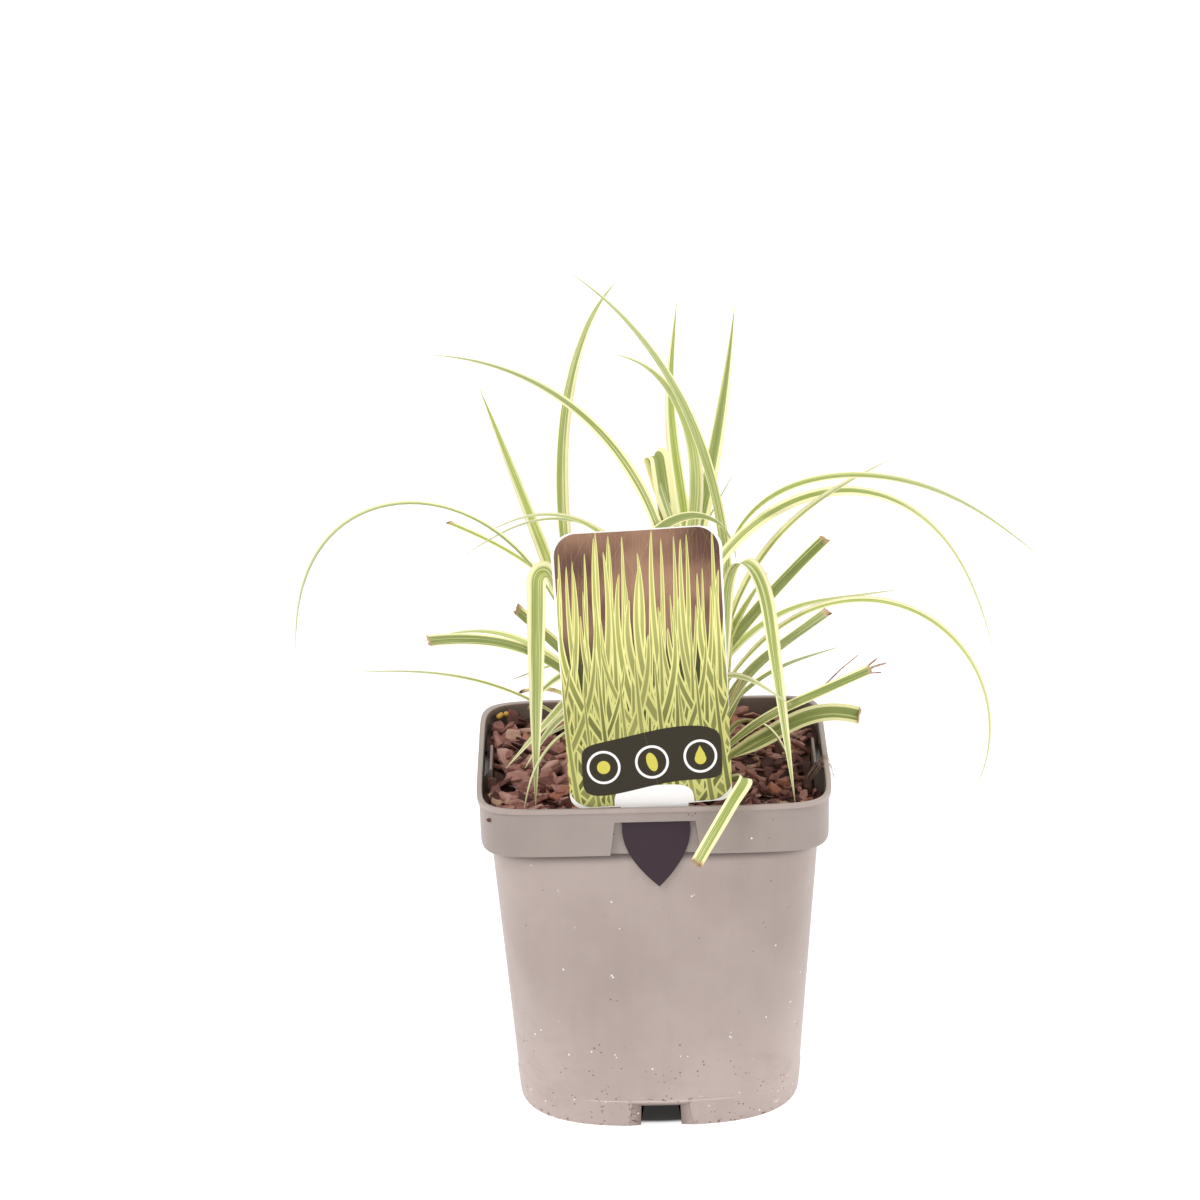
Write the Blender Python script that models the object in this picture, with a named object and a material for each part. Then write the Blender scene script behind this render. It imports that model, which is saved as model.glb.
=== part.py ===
"""A carex sedge in its square-round nursery pot.

The pot is one moulding with a stepped collar, label pockets and foot notches. It holds a block of
potting soil under a layer of bark mulch, a plant label that hangs in the front pocket, and a clump
of leafy shoots whose sheaths stand in plain holes in the mulch and soil. Each shoot is one body:
its sheath with all of its arching blades. Units are metres, +Z is up, the front of the pot faces
-Y, and the origin is the middle of the pot's base on the ground.
"""

import math

import bmesh
import bpy
import numpy as np

MM = 0.001

# The pot, from the ground up
POT_HALF_WIDTH = 85.0 * MM
POT_HEIGHT = 168.5 * MM
WALL = 1.5 * MM
BASE_HALF_WIDTH = 68.7 * MM
BODY_TOP_HALF_WIDTH = 79.2 * MM
COLLAR_LOW_HALF_WIDTH = 83.6 * MM
COLLAR_TOP_HALF_WIDTH = 84.0 * MM
COLLAR_BOTTOM = 144.0 * MM
LIP_HEIGHT = 2.4 * MM
BASE_ROUNDNESS = 2.8
BODY_TOP_ROUNDNESS = 6.5
COLLAR_ROUNDNESS = 8.8
FLOOR_TOP = 13.5 * MM
FOOT_RADIUS = 17.0 * MM
DRAIN_RADIUS = 4.5 * MM
DRAIN_REACH = 44.0 * MM
SIDE_STEPS = 4

# The label pocket in the middle of each side of the collar
POCKET_TOP = 161.0 * MM
POCKET_TOP_HALF_WIDTH = 19.0 * MM
POCKET_LOW_HALF_WIDTH = 21.5 * MM
POCKET_FACE = 79.5 * MM
POCKET_RIM = 167.3 * MM
POCKET_SLOT_HALF_WIDTH = 17.7 * MM

# The drainage notch in the middle of each side of the foot
NOTCH_HEIGHTS = (12.2 * MM, 9.8 * MM)
NOTCH_OUTER_HALF_WIDTHS = (14.4 * MM, 16.1 * MM)
NOTCH_INNER_HALF_WIDTHS = (7.5 * MM, 9.2 * MM)
NOTCH_DEPTH = 2.4 * MM

# What fills the pot
FIT_GAP = 0.35 * MM
SOIL_TOP = 150.0 * MM
SOIL_HOLE_FLOOR = 138.0 * MM
MULCH_BED = 2.2 * MM
MULCH_RISE = 8.0 * MM
MULCH_SLOPE_WIDTH = 30.0 * MM
CHIP_COUNT = 72
CHIP_REACH = 70.0 * MM
CHIP_SEED = 11

# The plant label
LABEL_THICKNESS = 0.6 * MM
LABEL_FACE_FROM_AXIS = 80.3 * MM
LABEL_BEND_HEIGHT = 168.0 * MM
LABEL_CARD_LENGTH = 131.5 * MM
LABEL_CARD_SHIFT = -1.3 * MM
LABEL_TOP_HALF_WIDTH = 39.5 * MM
LABEL_LOW_HALF_WIDTH = 38.8 * MM
LABEL_CORNER_RADIUS = 11.5 * MM
LABEL_LOW_CORNER_RADIUS = 6.0 * MM
LABEL_NECK_HALF_WIDTH = 16.0 * MM
LABEL_NECK_HEIGHT = 0.6 * MM
LABEL_SHOULDER = 12.0 * MM
LABEL_TONGUE_LENGTH = 40.5 * MM
LABEL_LEAN = math.radians(8.0)
LABEL_TILT = math.radians(2.0)

# The clump of shoots, set out like seeds in a sunflower head
SHOOT_COUNT = 11
CLUMP_MIDDLE = (7.0 * MM, 0.0)
SHOOT_SPREAD = 9.0 * MM
GOLDEN_ANGLE = 137.508
SHEATH_RADIUS = 4.4 * MM
SHEATH_TOP_RADIUS = 3.0 * MM
SHEATH_FOOT = 138.6 * MM
SHEATH_TOP = 176.0 * MM
SHEATH_SIDES = 10
HOLE_RADIUS = 4.95 * MM
HOLE_SIDES = 14
LEAF_ROOT_HEIGHT = 158.0 * MM
BLADE_THICKNESS = 0.65 * MM
BLADE_CHANNEL = 0.16
BLADE_TIP = 1.0
FINE_SAMPLES = 48
SECTION_TURN = math.radians(23)

# Where the blades that the front ones hide may grow
BACK_COUNT = 24
BACK_TRIES = 1500
BACK_SEED = 5
LEAF_GAP = 3.4 * MM
LEAF_SIGHT_SLOPE = 0.3
AMID_MIDDLE = -4.0 * MM
AMID_HALF_WIDTH = 44.0 * MM
AMID_HEIGHT = 283.0 * MM
BEHIND_HEIGHT = 189.0 * MM

# Each blade: shoot, bearing and its turn, rise and droop in degrees, the stretch of the blade over
# which it bends, length and width in mm, twist in degrees, and how it ends.
BLADES = (
    (1, 141, -3, 43, 66, 0.10, 0.99, 171, 3.8, 30, "fine"),
    (9, 184, -1, 54, 54, -0.19, 1.05, 140, 2.8, 20, "fine"),
    (2, 151, 1, 95, 102, 0.12, 1.14, 282, 6.0, 30, "fine"),
    (2, 18, 19, 101, 231, 0.40, 1.23, 191, 5.4, -40, "fine"),
    (2, -4, -25, 61, 199, 0.11, 1.24, 269, 4.2, -30, "fine"),
    (2, -46, -4, 67, 80, 0.28, 0.88, 123, 3.6, -60, "fine"),
    (3, 41, 2, 41, 41, 0.06, 0.84, 116, 3.0, -20, "fine"),
    (9, 147, 0, 71, 5, 0.00, 0.80, 197, 6.4, 30, "fine"),
    (4, -141, 14, 111, 100, 0.37, 1.13, 249, 8.4, -20, "fine"),
    (4, 50, -6, 61, -23, 0.15, 1.22, 236, 7.2, -10, "fine"),
    (4, 160, -1, 96, 126, 0.33, 1.03, 190, 4.4, 30, "fine"),
    (8, -24, 1, 90, 61, 0.01, 1.02, 201, 5.4, -50, "fine"),
    (5, -20, -1, 74, 36, 0.11, 0.79, 114, 6.4, 40, "cut"),
    (5, 35, -1, 65, 14, 0.00, 1.00, 49, 4.2, -10, "fine"),
    (5, 139, -2, 81, 194, 0.58, 0.68, 258, 8.0, 80, "fine"),
    (6, 46, 0, 84, 40, 0.02, 1.02, 152, 2.2, 0, "fine"),
    (6, 30, 0, 51, 18, 0.01, 1.12, 139, 7.2, -20, "cut"),
    (6, 46, -2, 37, 44, 0.18, 0.77, 196, 4.0, -30, "fine"),
    (6, -162, 0, 69, 120, 0.24, 1.02, 99, 6.2, 40, "fine"),
    (6, 150, 0, 67, 53, 0.06, 1.02, 165, 3.2, 20, "cut"),
    (9, 166, -1, 105, 138, 0.25, 0.97, 204, 3.4, 20, "fine"),
    (6, -162, 0, 57, 12, 0.01, 0.91, 109, 7.0, 50, "cut"),
    (6, 154, -3, 57, 83, 0.21, 0.90, 101, 3.0, 20, "fine"),
    (7, 178, -26, 67, 160, 0.25, 1.05, 312, 3.8, -50, "fine"),
    (7, -156, 2, 80, 121, 0.26, 0.70, 126, 5.2, 40, "fine"),
    (7, -148, 2, 70, 120, 0.21, 0.91, 105, 5.0, 40, "fine"),
    (7, -145, 2, 66, 154, 0.51, 0.55, 252, 8.4, 60, "fine"),
    (7, -149, 5, 62, 56, 0.11, 1.06, 163, 5.2, 50, "cut"),
    (8, -62, 78, 90, 131, 0.13, 0.97, 305, 4.0, -50, "fine"),
    (8, 5, 1, 28, 52, 0.44, 1.13, 76, 7.4, -40, "cut"),
    (8, -64, -3, 81, 154, 0.34, 0.66, 248, 8.0, -10, "fine"),
    (8, 6, -1, 92, 37, 0.09, 0.97, 104, 6.0, -40, "fine"),
    (8, -156, 17, 98, 82, -0.01, 1.49, 286, 6.2, -30, "fine"),
    (8, 122, 6, 77, -24, 0.60, 0.93, 232, 7.2, 0, "fine"),
    (9, -58, -13, 115, 98, 0.10, 1.27, 285, 7.2, 0, "fine"),
    (10, 20, 13, 109, 183, -0.08, 1.05, 330, 4.0, -50, "fine"),
    (10, -28, 7, 54, 26, 0.00, 0.70, 116, 6.4, -40, "cut"),
    (10, -64, -84, 22, 74, 0.52, 0.66, 112, 6.0, 30, "cut"),
)


def clear_scene():
    for thing in list(bpy.data.objects):
        bpy.data.objects.remove(thing, do_unlink=True)


def finish(name, colour, roughness):
    """A plain plastic or plant surface for one sub-part."""
    material = bpy.data.materials.new(name)
    material.use_nodes = True
    surface = material.node_tree.nodes["Principled BSDF"]
    surface.inputs["Base Color"].default_value = (*colour, 1.0)
    surface.inputs["Roughness"].default_value = roughness
    surface.inputs["Metallic"].default_value = 0.0
    return material


def solid(name, corners, faces, material=None):
    """A mesh object whose faces all point outwards."""
    mesh = bpy.data.meshes.new(name)
    mesh.from_pydata([tuple(map(float, corner)) for corner in corners], [], faces)
    shape = bmesh.new()
    shape.from_mesh(mesh)
    bmesh.ops.recalc_face_normals(shape, faces=shape.faces)
    shape.to_mesh(mesh)
    shape.free()
    if material:
        mesh.materials.append(material)
    thing = bpy.data.objects.new(name, mesh)
    bpy.context.scene.collection.objects.link(thing)
    return thing


def combine(target, others, operation, solver="EXACT"):
    """Join the other solids to the target, or cut them from it, and drop them afterwards."""
    group = bpy.data.collections.new(target.name + "_" + operation.lower())
    bpy.context.scene.collection.children.link(group)
    for other in others:
        bpy.context.scene.collection.objects.unlink(other)
        group.objects.link(other)
    step = target.modifiers.new(operation.title(), "BOOLEAN")
    step.operation = operation
    step.operand_type = "COLLECTION"
    step.collection = group
    step.solver = solver
    bpy.context.view_layer.update()
    graph = bpy.context.evaluated_depsgraph_get()
    result = bpy.data.meshes.new_from_object(target.evaluated_get(graph))
    target.modifiers.clear()
    target.data = result
    for other in list(group.objects):
        bpy.data.objects.remove(other, do_unlink=True)
    bpy.data.collections.remove(group)
    drop_scraps(target)
    return target


def drop_scraps(thing):
    """Keep only the largest connected piece, so that no loose crumb of a cut is left."""
    shape = bmesh.new()
    shape.from_mesh(thing.data)
    waiting = set(shape.verts)
    pieces = []
    while waiting:
        piece = set()
        edge_of_piece = [waiting.pop()]
        while edge_of_piece:
            corner = edge_of_piece.pop()
            piece.add(corner)
            linked = {edge.other_vert(corner) for edge in corner.link_edges} & waiting
            waiting -= linked
            edge_of_piece += linked
        pieces.append(piece)
    pieces.sort(key=len)
    for scrap in pieces[:-1]:
        bmesh.ops.delete(shape, geom=list(scrap), context="VERTS")
    shape.to_mesh(thing.data)
    shape.free()


# The pot
def bearings():
    """Bearings round the pot in radians, closer together at its four corners."""
    steps = np.linspace(-1.0, 1.0, 2 * SIDE_STEPS + 1)[:-1]
    quarter = 45.0 + 45.0 * np.sign(steps) * np.abs(steps) ** 1.6
    return np.radians(np.concatenate([quarter + 90.0 * side for side in range(4)]))


def ring(half_width, roundness, height):
    """A square with rounded sides and corners: |x|^n + |y|^n = a^n."""
    turn = bearings()
    across = np.abs(np.cos(turn)) ** roundness + np.abs(np.sin(turn)) ** roundness
    reach = half_width / across ** (1.0 / roundness)
    return np.stack([reach * np.cos(turn), reach * np.sin(turn), np.full_like(turn, height)], -1)


def body_ring(height, inset=0.0):
    """The tapering body's outline at a height, drawn in by the inset."""
    up = height / COLLAR_BOTTOM
    half_width = BASE_HALF_WIDTH + (BODY_TOP_HALF_WIDTH - BASE_HALF_WIDTH) * up
    roundness = BASE_ROUNDNESS + (BODY_TOP_ROUNDNESS - BASE_ROUNDNESS) * up ** 1.5
    return ring(half_width - inset, roundness, height)


def collar_ring(height, inset=0.0):
    up = (height - COLLAR_BOTTOM) / (POT_HEIGHT - COLLAR_BOTTOM)
    half_width = COLLAR_LOW_HALF_WIDTH + (COLLAR_TOP_HALF_WIDTH - COLLAR_LOW_HALF_WIDTH) * up
    return ring(half_width - inset, COLLAR_ROUNDNESS, height)


def body_heights():
    """Heights at which both the wall and the soil inside it change their outline."""
    return np.linspace(FLOOR_TOP, COLLAR_BOTTOM - 1.0 * MM, 5)


def lofted(name, rings, material=None):
    """Skin a stack of rings, with a flat face over the first and over the last.

    Every square is split from its lower left to its upper right, on the way up and on the way
    down, so that a wall and what fills it split alike.
    """
    count = len(rings[0])
    corners = np.concatenate(rings)
    faces = []
    for level in range(len(rings) - 1):
        first = level * count
        rising = rings[level + 1][0][2] >= rings[level][0][2]
        for here in range(count):
            ahead = (here + 1) % count
            a, b = first + here, first + ahead
            c, d = first + count + ahead, first + count + here
            faces += [(a, b, c), (a, c, d)] if rising else [(a, b, d), (b, c, d)]
    faces.append(tuple(reversed(range(count))))
    faces.append(tuple(range(len(corners) - count, len(corners))))
    return solid(name, corners, faces, material)


def tapered_block(name, near, far, side):
    """A block between two upright trapezia, turned to face one side of the pot.

    Each trapezium is its distance from the pot's axis, its bottom and top heights and its half
    widths there.
    """
    corners = []
    for reach, bottom, top, low_half, top_half in (near, far):
        corners += [(-low_half, -reach, bottom), (low_half, -reach, bottom),
                    (top_half, -reach, top), (-top_half, -reach, top)]
    turn = side * math.pi / 2
    turned = [(x * math.cos(turn) - y * math.sin(turn), x * math.sin(turn) + y * math.cos(turn), z)
              for x, y, z in corners]
    faces = [(0, 1, 2, 3), (7, 6, 5, 4), (0, 4, 5, 1), (1, 5, 6, 2), (2, 6, 7, 3), (3, 7, 4, 0)]
    return solid(name, turned, faces)


def post(name, place, radius, bottom, top, sides, top_radius=None):
    """An upright many-sided peg."""
    turn = np.arange(sides) * 2 * math.pi / sides
    level = [(radius, bottom), (top_radius or radius, top)]
    rings = [np.stack([place[0] + size * np.cos(turn), place[1] + size * np.sin(turn),
                       np.full(sides, height)], -1) for size, height in level]
    return lofted(name, rings)


def pot_shell(material):
    """The moulded wall: foot, body, stepped collar and lip outside, then back down inside."""
    step_rise = 1.0 * MM
    collar_round = 2.6 * MM
    lip_overhang = POT_HALF_WIDTH - COLLAR_TOP_HALF_WIDTH
    under_lip = POT_HEIGHT - LIP_HEIGHT
    inner_step = COLLAR_BOTTOM + WALL
    rings = [body_ring(FLOOR_TOP - WALL, WALL)]
    rings.append(body_ring(0.0, WALL))
    rings.append(body_ring(0.0))
    rings += [body_ring(height) for height in body_heights()]
    rings.append(collar_ring(COLLAR_BOTTOM, collar_round))
    rings.append(collar_ring(COLLAR_BOTTOM + step_rise, collar_round * 0.25))
    rings.append(collar_ring(COLLAR_BOTTOM + collar_round))
    rings.append(collar_ring(under_lip))
    rings.append(collar_ring(under_lip + 0.4 * MM, -lip_overhang))
    rings.append(collar_ring(POT_HEIGHT - 0.5 * MM, -lip_overhang))
    rings.append(collar_ring(POT_HEIGHT, 0.6 * MM - lip_overhang))
    rings.append(collar_ring(POT_HEIGHT, WALL))
    rings.append(collar_ring(inner_step + collar_round, WALL))
    rings.append(collar_ring(inner_step, collar_round + WALL))
    rings += [body_ring(height, WALL) for height in body_heights()[::-1]]
    return lofted("pot", rings, material)


def pocket_block(side):
    """The wall of a label pocket, nearly as high as the rim, before its face and slot are cut."""
    cheek = WALL
    back = POCKET_FACE - WALL
    front = COLLAR_LOW_HALF_WIDTH - 0.4 * MM
    shape = (COLLAR_BOTTOM + 0.6 * MM, POCKET_RIM,
             POCKET_LOW_HALF_WIDTH + cheek, POCKET_SLOT_HALF_WIDTH + cheek)
    return tapered_block("pocket_wall", (front, *shape), (back, *shape), side)


def pocket_cutters(side):
    """The recess in front of the pocket's face, and the slot that the label's neck drops into."""
    below = COLLAR_BOTTOM - 1.0 * MM
    beyond = POT_HALF_WIDTH + 5.0 * MM
    behind_bridge = COLLAR_LOW_HALF_WIDTH - WALL
    recess = (below, POCKET_TOP, POCKET_LOW_HALF_WIDTH, POCKET_TOP_HALF_WIDTH)
    slot = (POCKET_TOP - 4.0 * MM, POT_HEIGHT + 1.0 * MM, POCKET_SLOT_HALF_WIDTH,
            POCKET_SLOT_HALF_WIDTH)
    return [tapered_block("pocket_recess", (beyond, *recess), (POCKET_FACE, *recess), side),
            tapered_block("pocket_slot", (behind_bridge, *slot), (POCKET_FACE, *slot), side)]


def notch_block(side):
    """The thick cheeks that the drainage notch is cut through."""
    half_width = NOTCH_OUTER_HALF_WIDTHS[1] + 2.5 * MM
    front = BASE_HALF_WIDTH - 0.6 * MM
    shape = (0.4 * MM, FLOOR_TOP - WALL + 0.4 * MM, half_width, half_width)
    return tapered_block("notch_cheeks", (front, *shape), (front - NOTCH_DEPTH, *shape), side)


def notch_cutter(side):
    """A wedge that narrows and drops towards the inside, so that cheeks and roof slant."""
    below = -1.0 * MM
    past = 0.4 * MM
    wide, low_wide = NOTCH_OUTER_HALF_WIDTHS
    narrow, low_narrow = NOTCH_INNER_HALF_WIDTHS
    return tapered_block("notch", (BASE_HALF_WIDTH + past, below, NOTCH_HEIGHTS[0], low_wide, wide),
                         (BASE_HALF_WIDTH - NOTCH_DEPTH - past, below, NOTCH_HEIGHTS[1], low_narrow, narrow),
                         side)


def make_pot():
    pot = pot_shell(finish("taupe plastic", (0.45, 0.36, 0.33), 0.45))
    foot_top = FLOOR_TOP - WALL + 0.4 * MM
    added = [post("middle_foot", (0.0, 0.0), FOOT_RADIUS, 0.0, foot_top, 16)]
    cut = []
    for side in range(4):
        added += [pocket_block(side), notch_block(side)]
        cut += pocket_cutters(side) + [notch_cutter(side)]
        turn = math.radians(45 + 90 * side)
        place = (DRAIN_REACH * math.cos(turn), DRAIN_REACH * math.sin(turn))
        cut.append(post("drain", place, DRAIN_RADIUS, FLOOR_TOP - 3 * WALL, FLOOR_TOP + WALL, 10))
    combine(pot, added, "UNION")
    combine(pot, cut, "DIFFERENCE")
    return pot


# The soil and the bark on it
def shoot_places():
    """Where the shoots stand: each a golden angle on from the last and a little further out."""
    order = np.arange(SHOOT_COUNT)
    turn = np.radians(GOLDEN_ANGLE * order)
    reach = SHOOT_SPREAD * np.sqrt(order + 0.5)
    return np.stack([CLUMP_MIDDLE[0] + reach * np.cos(turn),
                     CLUMP_MIDDLE[1] + reach * np.sin(turn)], -1)


def shoot_holes():
    return [post("hole", place, HOLE_RADIUS, SOIL_HOLE_FLOOR, POT_HEIGHT, HOLE_SIDES)
            for place in shoot_places()]


def make_soil():
    """One block of potting soil, a fit gap clear of the pot's wall and floor."""
    heights = body_heights()
    inset = WALL + FIT_GAP
    bottom = body_ring(heights[0], inset)
    bottom[:, 2] += FIT_GAP
    rings = [bottom] + [body_ring(height, inset) for height in heights[1:]]
    top = rings[-1].copy()
    top[:, 2] = SOIL_TOP
    rings.append(top)
    soil = lofted("soil", rings, finish("potting soil", (0.045, 0.028, 0.02), 0.95))
    return combine(soil, shoot_holes(), "DIFFERENCE")


def mulch_rise(x, y):
    """How far the mulch is banked up against the wall: most at the left and the back."""
    bank = np.clip(0.7 + (0.5 * y - 0.25 * x) / COLLAR_TOP_HALF_WIDTH, 0.1, 1.0)
    outward = np.maximum(np.abs(x), np.abs(y)) - COLLAR_TOP_HALF_WIDTH + MULCH_SLOPE_WIDTH
    return MULCH_RISE * bank * np.clip(outward / MULCH_SLOPE_WIDTH, 0.0, 1.0)


def bark_chip(draw, order):
    """One flat angular chip of bark, laid on the bed by the sunflower rule."""
    turn = math.radians(GOLDEN_ANGLE * order)
    reach = CHIP_REACH * math.sqrt((order + 0.5) / CHIP_COUNT)
    square = max(abs(math.cos(turn)), abs(math.sin(turn))) ** -0.8
    place = np.array([reach * square * math.cos(turn), reach * square * math.sin(turn)])
    place = np.clip(place, -CHIP_REACH, CHIP_REACH)
    size = np.array([draw.uniform(8, 17), draw.uniform(6, 10), draw.uniform(2.6, 3.8)]) * MM
    near_wall = np.max(np.abs(place)) > CHIP_REACH - 8 * MM
    along_wall = 0.0 if abs(place[1]) > abs(place[0]) else math.pi / 2
    yaw = along_wall + draw.uniform(-0.3, 0.3) if near_wall else draw.uniform(0, math.pi)
    signs = np.array([(x, y, z) for z in (-1, 1) for y in (-1, 1) for x in (-1, 1)], float)
    corners = signs * size / 2 * draw.uniform(0.72, 1.0, (8, 3))
    corners[:, 2] += corners[:, 0] * draw.uniform(-0.1, 0.1) + corners[:, 1] * draw.uniform(-0.1, 0.1)
    x = corners[:, 0] * math.cos(yaw) - corners[:, 1] * math.sin(yaw) + place[0]
    y = corners[:, 0] * math.sin(yaw) + corners[:, 1] * math.cos(yaw) + place[1]
    z = corners[:, 2] + SOIL_TOP + FIT_GAP + MULCH_BED + draw.uniform(0.4, 1.6) * MM
    z += mulch_rise(*place)
    z = np.maximum(z, SOIL_TOP + FIT_GAP + 0.5 * MM)
    quads = [(0, 1, 3, 2), (4, 6, 7, 5), (0, 4, 5, 1), (1, 5, 7, 3), (3, 7, 6, 2), (2, 6, 4, 0)]
    faces = [part for a, b, c, d in quads for part in ((a, b, c), (a, c, d))]
    return solid("chip", np.stack([x, y, z], -1), faces)


def make_bark_mulch():
    """A dished bed of fines with the chips joined to it, holed for the shoots and the pockets."""
    draw = np.random.default_rng(CHIP_SEED)
    low = SOIL_TOP + FIT_GAP
    inset = WALL + FIT_GAP
    brim = collar_ring(low + MULCH_BED, inset)
    brim[:, 2] += mulch_rise(brim[:, 0], brim[:, 1])
    dish = collar_ring(low + MULCH_BED, inset + MULCH_SLOPE_WIDTH)
    mulch = lofted("bark_mulch", [collar_ring(low, inset), brim, dish],
                   finish("pine bark", (0.2, 0.09, 0.06), 0.85))
    chips = [bark_chip(draw, order) for order in range(CHIP_COUNT)]
    combine(mulch, chips, "UNION", "MANIFOLD")
    room = (low - 2 * MM, POT_HEIGHT, POCKET_LOW_HALF_WIDTH + 2 * WALL,
            POCKET_LOW_HALF_WIDTH + 2 * WALL)
    inside = POCKET_FACE - WALL - FIT_GAP
    pockets = [tapered_block("pocket_room", (POT_HALF_WIDTH, *room), (inside, *room), side)
               for side in range(4)]
    return combine(mulch, shoot_holes() + pockets, "DIFFERENCE", "MANIFOLD")


# The plant label
def label_outline():
    """Stations from the top edge down to the tongue's tip: height on the card and half width."""
    radius = LABEL_CORNER_RADIUS
    arc = np.radians(np.linspace(90, 0, 5))
    top = [(LABEL_CARD_LENGTH - radius * (1 - math.sin(a)),
            LABEL_TOP_HALF_WIDTH - radius * (1 - math.cos(a))) for a in arc]
    low_radius = LABEL_LOW_CORNER_RADIUS
    low_edge = LABEL_NECK_HEIGHT + 0.1 * MM
    bottom = [(low_edge + low_radius * (1 - math.sin(a)),
               LABEL_LOW_HALF_WIDTH - low_radius * (1 - math.cos(a))) for a in arc[::-1]]
    neck = [(LABEL_NECK_HEIGHT, LABEL_NECK_HALF_WIDTH), (0.0, LABEL_NECK_HALF_WIDTH)]
    tongue = []
    for share in (0.0, 0.25, 0.5, 0.75, 0.92, 1.0):
        drop = LABEL_SHOULDER + share * (LABEL_TONGUE_LENGTH - LABEL_SHOULDER)
        half_width = LABEL_NECK_HALF_WIDTH * (1 - share ** 1.9) + 0.4 * MM
        tongue.append((-drop, half_width))
    return top + bottom + neck + tongue


def make_label():
    """A card that leans back over the plant, bent upright where its neck enters the pocket."""
    corners = []
    for up, half_width in label_outline():
        lean = LABEL_LEAN if up > 0 else 0.0
        shift = LABEL_CARD_SHIFT if up > LABEL_NECK_HEIGHT else 0.0
        back = up * math.sin(lean)
        rise = up * math.cos(lean)
        for depth in (-LABEL_THICKNESS / 2, LABEL_THICKNESS / 2):
            for sideways in (shift - half_width, shift + half_width):
                x = sideways * math.cos(LABEL_TILT) - rise * math.sin(LABEL_TILT)
                y = back - LABEL_FACE_FROM_AXIS + depth * math.cos(lean)
                z = LABEL_BEND_HEIGHT + rise * math.cos(LABEL_TILT)
                corners.append((x, y, z + sideways * math.sin(LABEL_TILT) - depth * math.sin(lean)))
    count = len(corners) // 4
    faces = [(0, 1, 3, 2), tuple(4 * (count - 1) + corner for corner in (2, 3, 1, 0))]
    for station in range(count - 1):
        here = 4 * station
        for a, b in ((0, 1), (1, 3), (3, 2), (2, 0)):
            faces += [(here + a, here + b, here + 4 + b), (here + a, here + 4 + b, here + 4 + a)]
    return solid("plant_label", corners, faces, finish("label card", (0.06, 0.05, 0.03), 0.4))


# The leafy shoots
def blade_course(blade):
    """The blade's middle line, its bearing and its pitch at evenly spaced points.

    Bearing and pitch both turn by a smooth step over the blade's bending stretch.
    """
    shoot, bearing, turn, rise, droop, bend_from, bend_to, length = blade[:8]
    share = np.linspace(0.0, 1.0, FINE_SAMPLES + 1)
    run = np.clip((share - bend_from) / (bend_to - bend_from), 0.0, 1.0)
    bend = run * run * (3.0 - 2.0 * run)
    pitch = np.radians(rise - droop * bend)
    heading = np.radians(bearing + turn * bend)
    ahead = np.stack([np.cos(pitch) * np.cos(heading), np.cos(pitch) * np.sin(heading),
                      np.sin(pitch)], -1)
    steps = (ahead[1:] + ahead[:-1]) / 2 * length * MM / FINE_SAMPLES
    start = np.array([*shoot_places()[shoot], LEAF_ROOT_HEIGHT])
    middle = start + np.vstack([np.zeros(3), np.cumsum(steps, axis=0)])
    return middle, heading, pitch


def blade_sections(blade, stations):
    """Middle points at the given shares of the length, with the blade's across and upper sides."""
    middle, heading, pitch = blade_course(blade)
    share = np.linspace(0.0, 1.0, FINE_SAMPLES + 1)
    rows = [np.interp(stations, share, row) for row in (*middle.T, heading, pitch)]
    centre, heading, pitch = np.stack(rows[:3], -1), rows[3], rows[4]
    side = np.stack([np.sin(heading), -np.cos(heading), np.zeros_like(heading)], -1)
    ahead = np.stack([np.cos(pitch) * np.cos(heading), np.cos(pitch) * np.sin(heading),
                      np.sin(pitch)], -1)
    upper = np.cross(side, ahead)
    roll = (np.radians(blade[9]) * np.minimum(1.0, stations / 0.4))[:, None]
    return (centre, side * np.cos(roll) + upper * np.sin(roll),
            upper * np.cos(roll) - side * np.sin(roll))


def blade_width(stations, width, end):
    """Narrow in the sheath, widest at a third, and drawn out to a point unless it is cut."""
    spread = width * np.minimum(1.0, 0.6 + 1.6 * stations)
    if end == "fine":
        spread = spread * (1.0 - np.clip((stations - 0.45) / 0.55, 0.0, 1.0) ** 2.2)
    return np.maximum(spread, BLADE_TIP) * MM


def blade_stations(blade):
    """Shares of the length to build sections at, closer together where the blade bends."""
    heading, pitch = blade_course(blade)[1:]
    turning = np.abs(np.diff(pitch)) + np.abs(np.diff(heading)) * np.cos(pitch[1:])
    plain = (0.9 + blade[7] / 110.0) / FINE_SAMPLES
    effort = np.concatenate([[0.0], np.cumsum(turning / SECTION_TURN + plain)])
    count = int(np.clip(math.ceil(effort[-1]), 3, 12))
    share = np.linspace(0.0, 1.0, FINE_SAMPLES + 1)
    return np.interp(np.linspace(0.0, effort[-1], count + 1), effort, share)


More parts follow.
